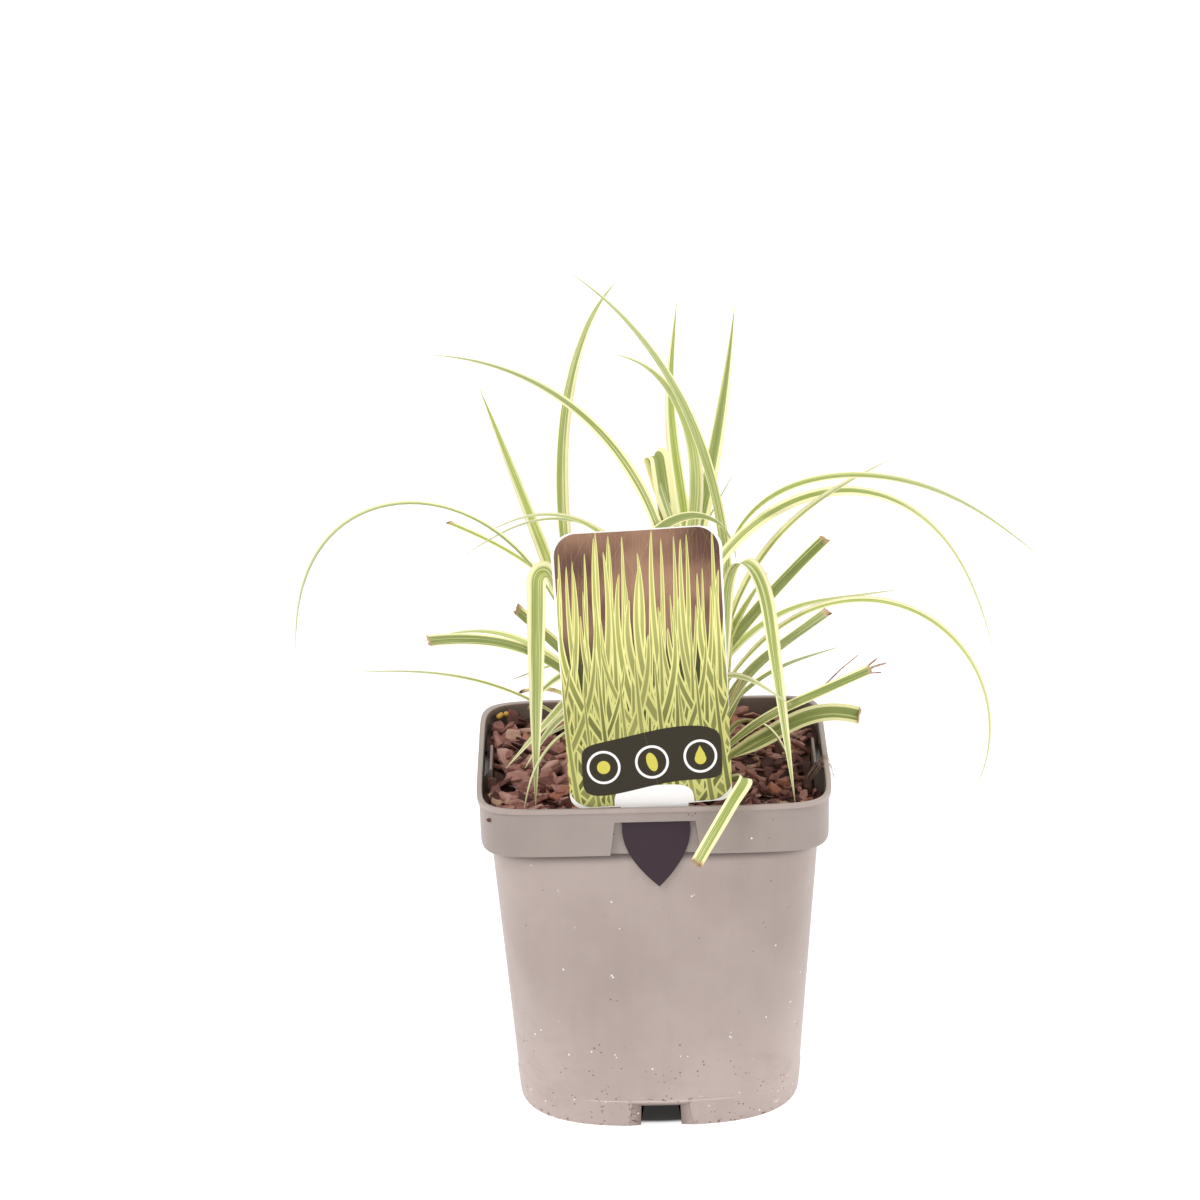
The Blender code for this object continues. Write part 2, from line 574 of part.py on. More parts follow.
def make_blade(blade):
    """A thin channelled blade, its keel below and its edges raised, as one closed solid."""
    stations = blade_stations(blade)
    centre, across, upper = blade_sections(blade, stations)
    half = (blade_width(stations, blade[8], blade[10]) / 2)[:, None]
    channel = half * BLADE_CHANNEL
    skin = BLADE_THICKNESS / 2
    left, right = -half * across, half * across
    points = np.stack([left + (channel + skin) * upper, (skin - channel) * upper,
                       right + (channel + skin) * upper, right + (channel - skin) * upper,
                       -(channel + skin) * upper, left + (channel - skin) * upper], 1)
    corners = (points + centre[:, None, :]).reshape(-1, 3)
    faces = [(0, 1, 4, 5), (1, 2, 3, 4)]
    last = len(corners) - 6
    faces += [(last + 5, last + 4, last + 1, last), (last + 4, last + 3, last + 2, last + 1)]
    for here in range(0, last, 6):
        for a, b in ((1, 0), (4, 5), (1, 2), (4, 3), (0, 5), (2, 3)):
            faces += [(here + a, here + b, here + 6 + b), (here + a, here + 6 + b, here + 6 + a)]
    return solid("blade", corners, faces)


def blade_samples(blade):
    """Points over the middle and both edges of a blade, past its root, to measure gaps from."""
    stations = np.linspace(0.0, 1.0, FINE_SAMPLES + 1)[3:]
    centre, across, _ = blade_sections(blade, stations)
    half = (blade_width(stations, blade[8], blade[10]) / 2)[:, None]
    return np.concatenate([centre - half * across, centre, centre + half * across])


def has_room(blade, points, placed):
    """True if the blade keeps to the back of the clump and clear of every other shoot's blades."""
    x, y, z = points.T
    lifted = z + LEAF_SIGHT_SLOPE * y
    amid = (np.abs(x - AMID_MIDDLE) < AMID_HALF_WIDTH) & (lifted < AMID_HEIGHT)
    behind = (np.abs(x) < BODY_TOP_HALF_WIDTH) & (lifted < BEHIND_HEIGHT)
    out = np.hypot(*(points[:, :2] - shoot_places()[blade[0]]).T) > HOLE_RADIUS
    over_pot = np.max(np.abs(points[:, :2]), axis=1) < POT_HALF_WIDTH + LEAF_GAP
    in_mouth = np.max(np.abs(points[:, :2]), axis=1) < COLLAR_TOP_HALF_WIDTH - WALL - LEAF_GAP
    low = z < LEAF_GAP + np.where(in_mouth, LEAF_ROOT_HEIGHT + mulch_rise(x, y), POT_HEIGHT)
    past_label = y < (z - LABEL_BEND_HEIGHT) * math.tan(LABEL_LEAN) - LABEL_FACE_FROM_AXIS + LEAF_GAP
    if not np.all(amid | behind) or np.any(out & over_pot & low) or np.any(past_label):
        return False
    for other, others in placed:
        if other == blade[0]:
            continue
        gaps = points[:, None, :] - others[None, :, :]
        if np.min(np.sum(gaps * gaps, -1)) < LEAF_GAP ** 2:
            return False
    return True


def back_blades():
    """The blades that the front ones hide, drawn by a seeded rule and kept where there is room."""
    draw = np.random.default_rng(BACK_SEED)
    placed = [(blade[0], blade_samples(blade)) for blade in BLADES]
    kept = []
    for _ in range(BACK_TRIES):
        long_blade = draw.random() < 0.6
        blade = (int(draw.integers(SHOOT_COUNT)),
                 draw.uniform(50, 130) if long_blade else draw.uniform(-180, 180),
                 draw.uniform(-15, 15), draw.uniform(62, 86), draw.uniform(50, 165), 0.1, 1.05,
                 draw.uniform(120, 290) if long_blade else draw.uniform(60, 130),
                 draw.uniform(3.6, 6.4), draw.uniform(-30, 30), "fine")
        points = blade_samples(blade)
        if len(kept) < BACK_COUNT and has_room(blade, points, placed):
            kept.append(blade)
            placed.append((blade[0], points))
    return kept


def make_shoot(number, blades, material):
    """A sheath that stands in the soil, with every one of its blades joined to it."""
    place = shoot_places()[number]
    sheath = post(f"shoot_{number + 1:02d}", place, SHEATH_RADIUS, SHEATH_FOOT, SHEATH_TOP,
                  SHEATH_SIDES, SHEATH_TOP_RADIUS)
    sheath.data.materials.append(material)
    return combine(sheath, [make_blade(blade) for blade in blades], "UNION", "MANIFOLD")


def main():
    clear_scene()
    make_pot()
    make_soil()
    make_bark_mulch()
    make_label()
    leaf = finish("sedge leaf", (0.42, 0.5, 0.16), 0.5)
    blades = [*BLADES, *back_blades()]
    for number in range(SHOOT_COUNT):
        make_shoot(number, [blade for blade in blades if blade[0] == number], leaf)


main()
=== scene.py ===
import math

import bpy
import numpy as np
from mathutils import Matrix, Vector


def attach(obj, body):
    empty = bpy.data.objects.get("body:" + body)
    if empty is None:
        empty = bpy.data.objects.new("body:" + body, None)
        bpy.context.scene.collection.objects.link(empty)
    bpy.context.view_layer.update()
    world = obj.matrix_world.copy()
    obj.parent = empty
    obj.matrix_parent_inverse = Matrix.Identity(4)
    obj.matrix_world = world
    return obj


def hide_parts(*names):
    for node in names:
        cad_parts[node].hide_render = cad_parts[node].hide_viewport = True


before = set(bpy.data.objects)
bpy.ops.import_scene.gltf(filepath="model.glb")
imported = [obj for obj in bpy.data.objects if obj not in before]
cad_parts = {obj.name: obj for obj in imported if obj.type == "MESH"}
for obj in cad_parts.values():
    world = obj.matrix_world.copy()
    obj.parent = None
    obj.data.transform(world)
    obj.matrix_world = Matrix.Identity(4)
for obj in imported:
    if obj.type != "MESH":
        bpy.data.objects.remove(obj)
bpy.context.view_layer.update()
mm = 0.001
goldenAngle = 137.508


# Camera: the picture is 1200 pixels square, and leans a little to the left
view = {
    "focalPixels": 5470.0,
    "picturePixels": 1200.0,
    "sensorWidth": 36.0,
    "distance": 2.645,
    "elevation": 16.87,
    "azimuth": 0.2,
    "roll": -1.39,
    "target": (-0.0238, 0.0, 0.2461),
}


def addCamera():
    # back = (sin a cos e, -cos a cos e, sin e), and the camera stands that far back from its target
    turn, rise, roll = (math.radians(view[key]) for key in ("azimuth", "elevation", "roll"))
    back = Vector((math.sin(turn) * math.cos(rise), -math.cos(turn) * math.cos(rise), math.sin(rise)))
    right = Vector((0, 0, 1)).cross(back).normalized()
    up = back.cross(right)
    across = right * math.cos(roll) + up * math.sin(roll)
    upward = up * math.cos(roll) - right * math.sin(roll)
    lens = bpy.data.cameras.new("camera")
    lens.sensor_width = view["sensorWidth"]
    lens.lens = view["sensorWidth"] * view["focalPixels"] / view["picturePixels"]
    lens.clip_end = 50.0
    camera = bpy.data.objects.new("camera", lens)
    place = Vector(view["target"]) + back * view["distance"]
    axes = Matrix((across, upward, back)).transposed()
    camera.matrix_world = Matrix.Translation(place) @ axes.to_4x4()
    bpy.context.scene.collection.objects.link(camera)
    bpy.context.scene.camera = camera
    print("camera placed")


# Shader maths
class Wire:
    # One socket of a node tree; working with it adds a Math node
    def __init__(self, finish, socket):
        self.finish, self.socket = finish, socket

    def __add__(self, other):
        return self.finish.maths("ADD", self, other)

    def __sub__(self, other):
        return self.finish.maths("SUBTRACT", self, other)

    def __rsub__(self, other):
        return self.finish.maths("SUBTRACT", other, self)

    def __mul__(self, other):
        return self.finish.maths("MULTIPLY", self, other)

    def __truediv__(self, other):
        return self.finish.maths("DIVIDE", self, other)

    def __pow__(self, other):
        return self.finish.maths("POWER", self, other)

    def __abs__(self):
        return self.finish.maths("ABSOLUTE", self)

    __radd__ = __add__
    __rmul__ = __mul__


class Finish:
    # A material with its Principled shader; every other node is added by node()
    def __init__(self, name, **fixed):
        self.material = bpy.data.materials.new(name)
        self.material.use_nodes = True
        self.tree = self.material.node_tree
        self.shader = self.tree.nodes["Principled BSDF"]
        for socket, value in fixed.items():
            self.shader.inputs[socket.replace("_", " ")].default_value = value

    def node(self, kind, settings=None, sockets=None):
        # Adds one node: its settings first, with a ramp's stops, then the values or links of its sockets
        made = self.tree.nodes.new(kind)
        for key, value in (settings or {}).items():
            if key != "stops":
                setattr(made, key, value)
                continue
            ramp = made.color_ramp.elements
            while len(ramp) < len(value):
                ramp.new(1.0)
            for stop, (place, colour) in zip(ramp, value):
                stop.position = place
                stop.color = (*colour, 1.0)
        for key, value in (sockets or {}).items():
            self.feed(made.inputs[key], value)
        return made

    def feed(self, socket, value):
        if isinstance(value, Wire):
            self.tree.links.new(value.socket, socket)
        elif socket.type == "RGBA":
            socket.default_value = (*value, 1.0)
        else:
            socket.default_value = value

    def maths(self, operation, *values):
        made = self.node("ShaderNodeMath", {"operation": operation}, dict(enumerate(values)))
        return Wire(self, made.outputs[0])

    def lower(self, a, b):
        return self.maths("MINIMUM", a, b)

    def higher(self, a, b):
        return self.maths("MAXIMUM", a, b)

    def root(self, value):
        return self.maths("SQRT", value)

    def step(self, value, start, end, low=0.0, high=1.0):
        # Goes smoothly from low at start to high at end
        settings = {"interpolation_type": "SMOOTHSTEP"}
        made = self.node("ShaderNodeMapRange", settings, {0: value, 1: start, 2: end, 3: low, 4: high})
        return Wire(self, made.outputs[0])

    def fall(self, value, start, end):
        return self.step(value, start, end, 1.0, 0.0)

    def mix(self, share, first, second, blend="MIX"):
        settings = {"data_type": "RGBA", "blend_type": blend}
        return Wire(self, self.node("ShaderNodeMix", settings, {0: share, 6: first, 7: second}).outputs[2])

    def place(self, scale=(1, 1, 1), shift=(0, 0, 0), of="Object"):
        # Object or UV coordinates, scaled and shifted by a Mapping node
        source = Wire(self, self.node("ShaderNodeTexCoord").outputs[of])
        sockets = {"Vector": source, "Scale": scale, "Location": shift}
        return Wire(self, self.node("ShaderNodeMapping", None, sockets).outputs[0])

    def parts(self, vector):
        return [Wire(self, out) for out in self.node("ShaderNodeSeparateXYZ", None, {0: vector}).outputs]

    def joined(self, x, y, z=0.0):
        return Wire(self, self.node("ShaderNodeCombineXYZ", None, {0: x, 1: y, 2: z}).outputs[0])

    def noise(self, where, scale, detail=2.0, rough=0.5, twist=0.0):
        sockets = {"Vector": where, "Scale": scale, "Detail": detail, "Roughness": rough, "Distortion": twist}
        return Wire(self, self.node("ShaderNodeTexNoise", None, sockets).outputs[0])

    def cells(self, where, scale):
        made = self.node("ShaderNodeTexVoronoi", None, {"Vector": where, "Scale": scale})
        return Wire(self, made.outputs[0])

    def mark(self, name):
        # A number that the mesh carries for each of its points
        return Wire(self, self.node("ShaderNodeAttribute", {"attribute_name": name}).outputs["Fac"])

    def ramp(self, value, *stops):
        return Wire(self, self.node("ShaderNodeValToRGB", {"stops": stops}, {0: value}).outputs[0])

    def bump(self, height, depth, strength=1.0):
        sockets = {"Height": height, "Distance": depth, "Strength": strength}
        return Wire(self, self.node("ShaderNodeBump", None, sockets).outputs[0])

    def show(self, **sockets):
        for name, value in sockets.items():
            self.feed(self.shader.inputs[name.replace("_", " ")], value)
        return self.material


# Meshes from arrays
def gridFaces(rows, columns, closed=False, start=0):
    # The four-sided faces between neighbours of a grid; closed joins its last column to its first
    row = np.arange(rows - 1)[:, None] * columns
    column = np.arange(columns if closed else columns - 1)[None, :]
    here, ahead = row + column, row + (column + 1) % columns
    return start + np.stack([here, ahead, ahead + columns, here + columns], -1).reshape(-1, 4)


def addPiece(name, points, faces, finish, uvs=None, marks=None, sharp=None):
    # faces is a list of arrays of three or four point numbers; uvs and marks hold values for each point
    mesh = bpy.data.meshes.new(name)
    loops = np.concatenate([part.ravel() for part in faces]).astype(np.int32)
    sides = np.concatenate([np.full(len(part), part.shape[1]) for part in faces])
    starts = np.concatenate([[0], np.cumsum(sides)[:-1]]).astype(np.int32)
    mesh.vertices.add(len(points))
    mesh.vertices.foreach_set("co", np.asarray(points, np.float32).ravel())
    mesh.loops.add(len(loops))
    mesh.loops.foreach_set("vertex_index", loops)
    mesh.polygons.add(len(starts))
    mesh.polygons.foreach_set("loop_start", starts)
    mesh.update(calc_edges=True)
    mesh.validate()
    mesh.shade_smooth()
    if sharp:
        mesh.set_sharp_from_angle(angle=math.radians(sharp))
    if uvs is not None:
        mesh.uv_layers.new(name="UVMap").data.foreach_set("uv", uvs[loops].astype(np.float32).ravel())
    for key, values in (marks or {}).items():
        mesh.attributes.new(key, "FLOAT", "POINT").data.foreach_set("value", values.astype(np.float32))
    mesh.materials.append(finish)
    piece = bpy.data.objects.new(name, mesh)
    bpy.context.scene.collection.objects.link(piece)
    return piece


def tubeFaces(rows, sides):
    # A closed grid's faces, with fans that close its ends on the two points that follow it
    total, around = rows * sides, np.arange(sides)
    ahead = (around + 1) % sides
    low = np.stack([ahead, around, np.full(sides, total)], -1)
    high = np.stack([total - sides + around, total - sides + ahead, np.full(sides, total + 1)], -1)
    return [gridFaces(rows, sides, True), low, high]


def cardFaces(rows, columns):
    # A closed grid's faces, with each end closed by a fan from its first point
    fan = np.stack([np.zeros(columns - 2), np.arange(1, columns - 1), np.arange(2, columns)], -1).astype(int)
    return [gridFaces(rows, columns, True), fan[:, ::-1], fan + (rows - 1) * columns]


def gather(parts):
    # Joins several (points, faces) into one set of arrays
    points, quads, others, start = [], [], [], 0
    for some, faces in parts:
        points.append(some)
        quads += [face + start for face in faces if face.shape[1] == 4]
        others += [face + start for face in faces if face.shape[1] == 3]
        start += len(some)
    return np.concatenate(points), [np.concatenate(quads), np.concatenate(others)]


def ringOf(sides):
    # A unit circle's points on the ground
    turn = np.arange(sides) * math.tau / sides
    return np.stack([np.cos(turn), np.sin(turn), np.zeros(sides)], -1)


def tube(path, radii, sides=5):
    # A round thread: each ring stands square to the path, and both ends close on a point
    ahead = np.gradient(path, axis=0)
    ahead /= np.linalg.norm(ahead, axis=1)[:, None]
    aside = np.cross(ahead, (0.31, 0.17, 0.93))
    aside /= np.linalg.norm(aside, axis=1)[:, None]
    over = np.cross(ahead, aside)
    circle = ringOf(sides)[None, :, :2, None]
    spokes = circle[:, :, 0] * aside[:, None] + circle[:, :, 1] * over[:, None]
    rings = path[:, None] + spokes * radii[:, None, None]
    return np.concatenate([rings.reshape(-1, 3), path[:1], path[-1:]]), tubeFaces(len(path), sides)


def through(marks, share):
    # A path through marks at equal shares of its way
    marks = np.array(marks)
    order = np.arange(len(marks))
    return np.stack([np.interp(share * order[-1], order, line) for line in marks.T], -1)


def smooth(share):
    share = np.clip(share, 0.0, 1.0)
    return share * share * (3.0 - 2.0 * share)


def between(first, last, share):
    return first + (last - first) * share


def spun(a, b, angle):
    # The pair (a, b) turned by an angle
    return a * np.cos(angle) - b * np.sin(angle), a * np.sin(angle) + b * np.cos(angle)


def belongs(piece, slot, *nodes):
    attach(piece, "root")
    if nodes:
        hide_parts(*nodes)


# The pot
pot = {
    "halfWidth": 85.0 * mm,
    "height": 168.5 * mm,
    "wall": 1.5 * mm,
    "baseHalfWidth": 68.7 * mm,
    "bodyTopHalfWidth": 79.2 * mm,
    "collarLow": 83.6 * mm,
    "collarTop": 84.0 * mm,
    "collarBottom": 144.0 * mm,
    "lipHeight": 2.4 * mm,
    "baseRoundness": 2.8,
    "bodyTopRoundness": 6.5,
    "collarRoundness": 8.8,
    "floorTop": 13.5 * mm,
    "footRadius": 17.0 * mm,
    "drainRadius": 4.5 * mm,
    "drainReach": 44.0 * mm,
    "pocketTop": 161.0 * mm,
    "pocketHalfWidths": (21.5 * mm, 19.0 * mm),
    "pocketFace": 79.5 * mm,
    "notchHeights": (12.2 * mm, 9.8 * mm),
    "notchOuter": (15.5 * mm, 13.7 * mm),
    "notchInner": (9.7 * mm, 7.9 * mm),
    "notchDepth": 2.4 * mm,
    "cheekHalfWidth": 18.6 * mm,
    "cornerSteps": 18,
    "seam": 13.2 * mm,
    "flatTop": 12.0 * mm,
    "lightPlastic": (0.405, 0.332, 0.302),
    "darkPlastic": (0.345, 0.277, 0.250),
    "dirt": (0.075, 0.045, 0.032),
    "chalk": (0.90, 0.86, 0.82),
    "seamDirt": (0.16, 0.085, 0.055),
    "grooveShade": (0.10, 0.075, 0.066),
    "collarShade": (0.82, 0.83, 0.83),
    "innerShade": (0.42, 0.38, 0.36),
    "footLight": (1.2, 1.2, 1.21),
}


def outlineSize(zone, height):
    # Half width and roundness of the pot's outside: a tapering body, and the collar above it
    bottom = pot["collarBottom"]
    if zone == "collar":
        rise = (height - bottom) / (pot["height"] - bottom)
        return between(pot["collarLow"], pot["collarTop"], rise), pot["collarRoundness"]
    up = height / bottom
    return (between(pot["baseHalfWidth"], pot["bodyTopHalfWidth"], up),
            between(pot["baseRoundness"], pot["bodyTopRoundness"], up ** 1.5))


def potProfile():
    # The wall's section from the floor's underside, round the foot, up outside, over the lip and down
    # inside. Each row: zone, height, inset from the outline, and the (height, distance from the axis)
    # that a foot notch or a label pocket makes of it.
    wall, low, face, top = (pot[key] for key in ("wall", "collarBottom", "pocketFace", "pocketTop"))
    roof, innerRoof = pot["notchHeights"]
    front, back = outlineSize("body", roof)[0], pot["baseHalfWidth"] - pot["notchDepth"]
    rows = []

    def row(zone, height, inset=0.0, notch=None, pocket=None):
        rows.append((zone, height, inset, notch, pocket))

    row("foot", pot["flatTop"], 0.0, (pot["flatTop"], back))
    row("foot", 0.7 * mm, 0.0, (innerRoof, back))
    row("foot", 0.0, -0.6 * mm, (innerRoof + 0.2 * mm, back + 0.6 * mm))
    bevel = (("edge", 0.0, 0.5, 0.9), ("edge", 0.15, 0.15, 0.35), ("body", 0.5, 0.0, 0.12),
             ("body", 4.0, 0.0, 0.0), ("body", 8.0, 0.0, 0.0))
    for zone, height, inset, short in bevel:
        row(zone, height * mm, inset * mm, (roof, front - short * mm))
    for height in (roof + 0.05 * mm, 13 * mm, 14.5 * mm, *np.linspace(18, 140, 24) * mm, low - 1.2 * mm):
        row("body", height)
    row("body", low - 0.35 * mm, -0.08 * mm)
    row("collar", low, 4.9 * mm)
    ledge = ((0.0, 1.6, 0.3), (0.3, 0.7, 0.0), (1.0, 0.15, 0.0), (2.0, 0.0, 0.0), (5.0, 0.0, 0.0),
             (9.0, 0.0, 0.0), (13.0, 0.0, 0.0))
    for up, inset, out in ledge:
        row("collar", low + up * mm, inset * mm, None, (low + up * mm, face + out * mm))
    for down, away in ((0.6, face), (0.2, face + 0.5 * mm), (0.1, pot["collarLow"] - 0.3 * mm)):
        row("collar", top - down * mm, 0.0, None, (top, away))
    under = pot["height"] - pot["lipHeight"]
    for height in (top + 0.3 * mm, 163.5 * mm, under - 0.5 * mm):
        row("collar", height)
    bead = ((-0.3, 0.15), (0.0, 0.5), (0.15, 1.3), (0.35, 1.9), (0.8, 2.15), (1.3, 2.2), (1.8, 2.05),
            (2.15, 1.6), (2.36, 1.0), (2.4, 0.3), (2.4, -0.5), (2.3, -1.1), (2.0, -1.42), (1.4, -1.5))
    for up, out in bead:
        row("collar", under + up * mm, -min(out * mm, pot["halfWidth"] - pot["collarTop"]))
    # Inside the rim: the height, then the height and distance that the pocket's slot and inner wall take
    slot = ((165.2, 163.0, 82.2), (163.4, 161.6, 82.0), (163.0, 161.4, 79.9), (162.8, 166.9, 79.5),
            (162.6, 167.3, 79.2), (162.4, 167.3, 78.3), (162.0, 167.0, 78.0), (156.0, 156.0, 78.0),
            (147.5, 147.5, 78.0))
    for height, pocketHeight, away in slot:
        row("collar", height * mm, wall, None, (pocketHeight * mm, away * mm))
    row("collar", low + wall, wall + 2.0 * mm, None, (low + wall, 77.6 * mm))
    for height in (low - 0.5 * mm, *np.linspace(130, 20, 6) * mm, pot["floorTop"]):
        row("inside", height, wall)
    return rows


def potSide(zone, height, inset, notch, pocket):
    # One row of one side. x is listed near the middle, where notch and pocket edges need columns of their
    # own, and set by bearing towards the corner. The outline is |x|^n + |y|^n = a^n.
    isLow = zone in ("foot", "edge", "body")
    notchEnds = pot["notchInner" if zone == "foot" else "notchOuter"]
    notchX = between(*notchEnds, min(height / pot["notchHeights"][0], 1.0))
    if not isLow:
        notchX = 12.0 * mm
    elif zone == "body" and height > 20 * mm:
        notchX = 14.0 * mm
    lift = np.clip((height - pot["collarBottom"]) / (pot["pocketTop"] - pot["collarBottom"]), 0, 1)
    pocketX, cheek, eps = between(*pot["pocketHalfWidths"], lift), pot["cheekHalfWidth"], 0.18 * mm
    beside = min(notchX + 1.2 * mm, 17.4 * mm) if isLow else 15.5 * mm
    cheeks = (17.3 * mm, 18.2 * mm) if zone == "collar" else (cheek - eps, cheek + eps)
    x = np.array([0.0, notchX * 0.35, notchX * 0.7, notchX - eps, notchX + eps, beside, *cheeks,
                  pocketX - eps, pocketX + eps, 26.0 * mm, 31.0 * mm, 36.0 * mm, 41.0 * mm])
    half, power = outlineSize(zone, height)
    half = half - inset - (pot["wall"] if zone == "foot" else 0.0)
    y = (half ** power - x ** power) ** (1 / power)
    begin = math.atan2(x[-1], y[-1])
    turn = between(begin, math.pi / 4, np.linspace(0, 1, pot["cornerSteps"] + 1)[1:] ** 0.85)
    reach = half / (np.sin(turn) ** power + np.cos(turn) ** power) ** (1 / power)
    x = np.concatenate([x, reach * np.sin(turn)])
    y = np.concatenate([y, reach * np.cos(turn)])
    z = np.full_like(x, height)
    if notch:
        z[:4], y[:4] = notch
        if zone == "foot":
            y[4:7] = pot["baseHalfWidth"] - pot["notchDepth"] - inset
    if pocket:
        z[:9], y[:9] = pocket
    right = np.stack([x, -y, z], -1)
    return np.concatenate([right[:0:-1] * (-1, 1, 1), right])[:-1]


def addPot():
    # One grid: its rows run along the wall's section, and its columns round the four sides
    rows = potProfile()
    side = np.stack([potSide(*row) for row in rows])
    turns = [np.array([[c, s, 0], [-s, c, 0], [0, 0, 1]]) for c, s in ((1, 0), (0, 1), (-1, 0), (0, -1))]
    grid = np.concatenate([side @ turn for turn in turns], 1)
    bearing = np.arctan2(grid[0, :, 1], grid[0, :, 0])
    foot = np.stack([np.cos(bearing), np.sin(bearing), np.zeros_like(bearing)], -1) * pot["footRadius"]
    raised = foot + (0, 0, pot["flatTop"])
    outwards = (foot + grid[0] * (1, 1, 0)) / 2 + (0, 0, pot["flatTop"])
    under = [foot * 0.35, foot * 0.97, foot, foot + (0, 0, 0.4 * mm), raised, outwards]
    stack = np.stack([*under, *grid, grid[-1] * (0.5, 0.5, 1.0)])
    points = np.concatenate([stack.reshape(-1, 3), [[0, 0, 0], [0, 0, pot["floorTop"]]]])
    isInner = [row[0] == "foot" or row[2] == pot["wall"] for row in rows]
    inner = np.repeat([1.0] * len(under) + isInner + [1.0], stack.shape[1])
    marks = {"inner": np.append(inner, [1.0, 1.0])}
    piece = addPiece("nursery_pot", points, tubeFaces(*stack.shape[:2]), potPlastic(), marks=marks, sharp=38)
    cutDrains(piece)
    belongs(piece, "pot_plastic", "pot")
    print("pot moulded:", len(piece.data.polygons), "faces")


def cutDrains(piece):
    # Four round drains through the floor, at the same reach on the diagonals
    tubes = []
    for bearing in np.radians([45, 135, 225, 315]):
        x, y = pot["drainReach"] * np.cos(bearing), pot["drainReach"] * np.sin(bearing)
        ends = np.array([[x, y, 10.0 * mm], [x, y, 16.0 * mm]])
        rings = (ringOf(32) * pot["drainRadius"] + ends[:, None]).reshape(-1, 3)
        tubes.append((np.concatenate([rings, ends]), tubeFaces(2, 32)))
    cutter = addPiece("drains", *gather(tubes), piece.data.materials[0])
    step = piece.modifiers.new("drains", "BOOLEAN")
    step.operation = "DIFFERENCE"
    step.object = cutter
    bpy.context.view_layer.update()
    graph = bpy.context.evaluated_depsgraph_get()
    cut = bpy.data.meshes.new_from_object(piece.evaluated_get(graph))
    piece.modifiers.clear()
    piece.data = cut
    bpy.data.objects.remove(cutter)


def potPlastic():
    # Taupe plastic: soft clouds and faint upright draw lines, grit that thickens towards the foot, chalky
    # flecks, and a faint line where the foot was moulded on;
    # painted shade darkens the collar, a band under it and the inside, and painted light brightens the body
    # towards the foot
    plastic = Finish("taupePlastic", Roughness=0.46, Specular_IOR_Level=0.45)
    step, fall, mix, noise, place = plastic.step, plastic.fall, plastic.mix, plastic.noise, plastic.place
    where, collarBottom = place(), pot["collarBottom"]
    x, y, z = plastic.parts(where)
    clouds = noise(where, 14.0, 4.0, 0.6)
    streaks = noise(place((260, 260, 9)), 1.0)
    colour = mix(step(clouds * 0.9 + streaks * 0.1, 0.3, 0.7), pot["darkPlastic"], pot["lightPlastic"])
    # Painted shade: the collar band, up to just under the lip, is darkened as if it got less light than the
    # body below
    onCollar = step(z, collarBottom - 0.1 * mm, collarBottom + 0.1 * mm)
    offLip = fall(z, pot["height"] - 3.2 * mm, pot["height"] - 1.4 * mm)
    colour = mix(onCollar * offLip, colour, pot["collarShade"], "MULTIPLY")
    # Painted shadow: a dark band on the body just under the collar, where the collar's edge shades it
    groove = step(z, collarBottom - 7.0 * mm, collarBottom - 0.5 * mm) * (1.0 - onCollar)
    colour = mix(groove * groove, colour, pot["grooveShade"])
    # Painted shade: everything marked inner (the inside of the pot, its floor and the foot's underside) is
    # darkened
    colour = mix(plastic.mark("inner") * 0.9, colour, pot["innerShade"], "MULTIPLY")
    nearFoot = fall(z, 0.0, 75 * mm)
    # Painted light: the body is lightened towards the foot, as if lit from the floor below
    colour = mix(nearFoot, colour, pot["footLight"], "MULTIPLY")
    nearTop = step(z, 155 * mm, 168 * mm)
    pick = noise(where, 130.0, 1.0) + nearFoot * 0.15 + nearTop * 0.02
    grit = fall(plastic.cells(where, 430.0), 0.10, 0.24) * step(pick, 0.67, 0.71)
    colour = mix(grit * 0.8, colour, pot["dirt"])
    flecks = plastic.cells(place(shift=(0.13, 0.31, 0.07)), 400.0)
    pick = noise(place(shift=(0.5, 0.2, 0.9)), 120.0, 1.0) + nearFoot * 0.11
    colour = mix(fall(flecks, 0.12, 0.25) * step(pick, 0.71, 0.74), colour, pot["chalk"])
    smear = noise(place((30, 30, 70)), 1.0, 5.0, 0.65)
    soiled = step(smear + nearFoot * 0.18, 0.62, 0.86) * 0.10
    colour = mix(soiled, colour, pot["dirt"])
    nearNotch = fall(plastic.lower(abs(x), abs(y)), 29 * mm, 39 * mm)
    seamLine = fall(abs(z - pot["seam"]), 0.1 * mm, 0.4 * mm) * nearNotch
    colour = mix(seamLine * 0.35, colour, pot["chalk"])
    beside = fall(abs(z - pot["seam"] - 0.7 * mm), 0.3 * mm, 1.1 * mm)
    crumbs = step(noise(place((300, 300, 500)), 1.0), 0.58, 0.66)
    cheek = fall(abs(x + 12.5 * mm), 2 * mm, 4 * mm) * fall(abs(y + 66 * mm), 3 * mm, 6 * mm)
    onCheek = cheek * fall(z, 8 * mm, 12 * mm) * step(crumbs + clouds, 0.5, 0.8)
    crumbs = crumbs * plastic.higher(beside * nearNotch * 0.7, fall(z, 0.6 * mm, 3.0 * mm)) + onCheek * 0.8
    colour = mix(plastic.lower(crumbs, 0.9), colour, pot["seamDirt"])
    grain = noise(where, 900.0, 2.0, 0.6)
    height = grain * 0.5 + clouds * 0.5 - seamLine * 1.4 + grit * 1.5
    rough = 0.40 + clouds * 0.12 + grit * 0.3 + soiled * 0.5
    return plastic.show(Base_Color=colour, Roughness=rough, Normal=plastic.bump(height, 0.12 * mm, 0.7))


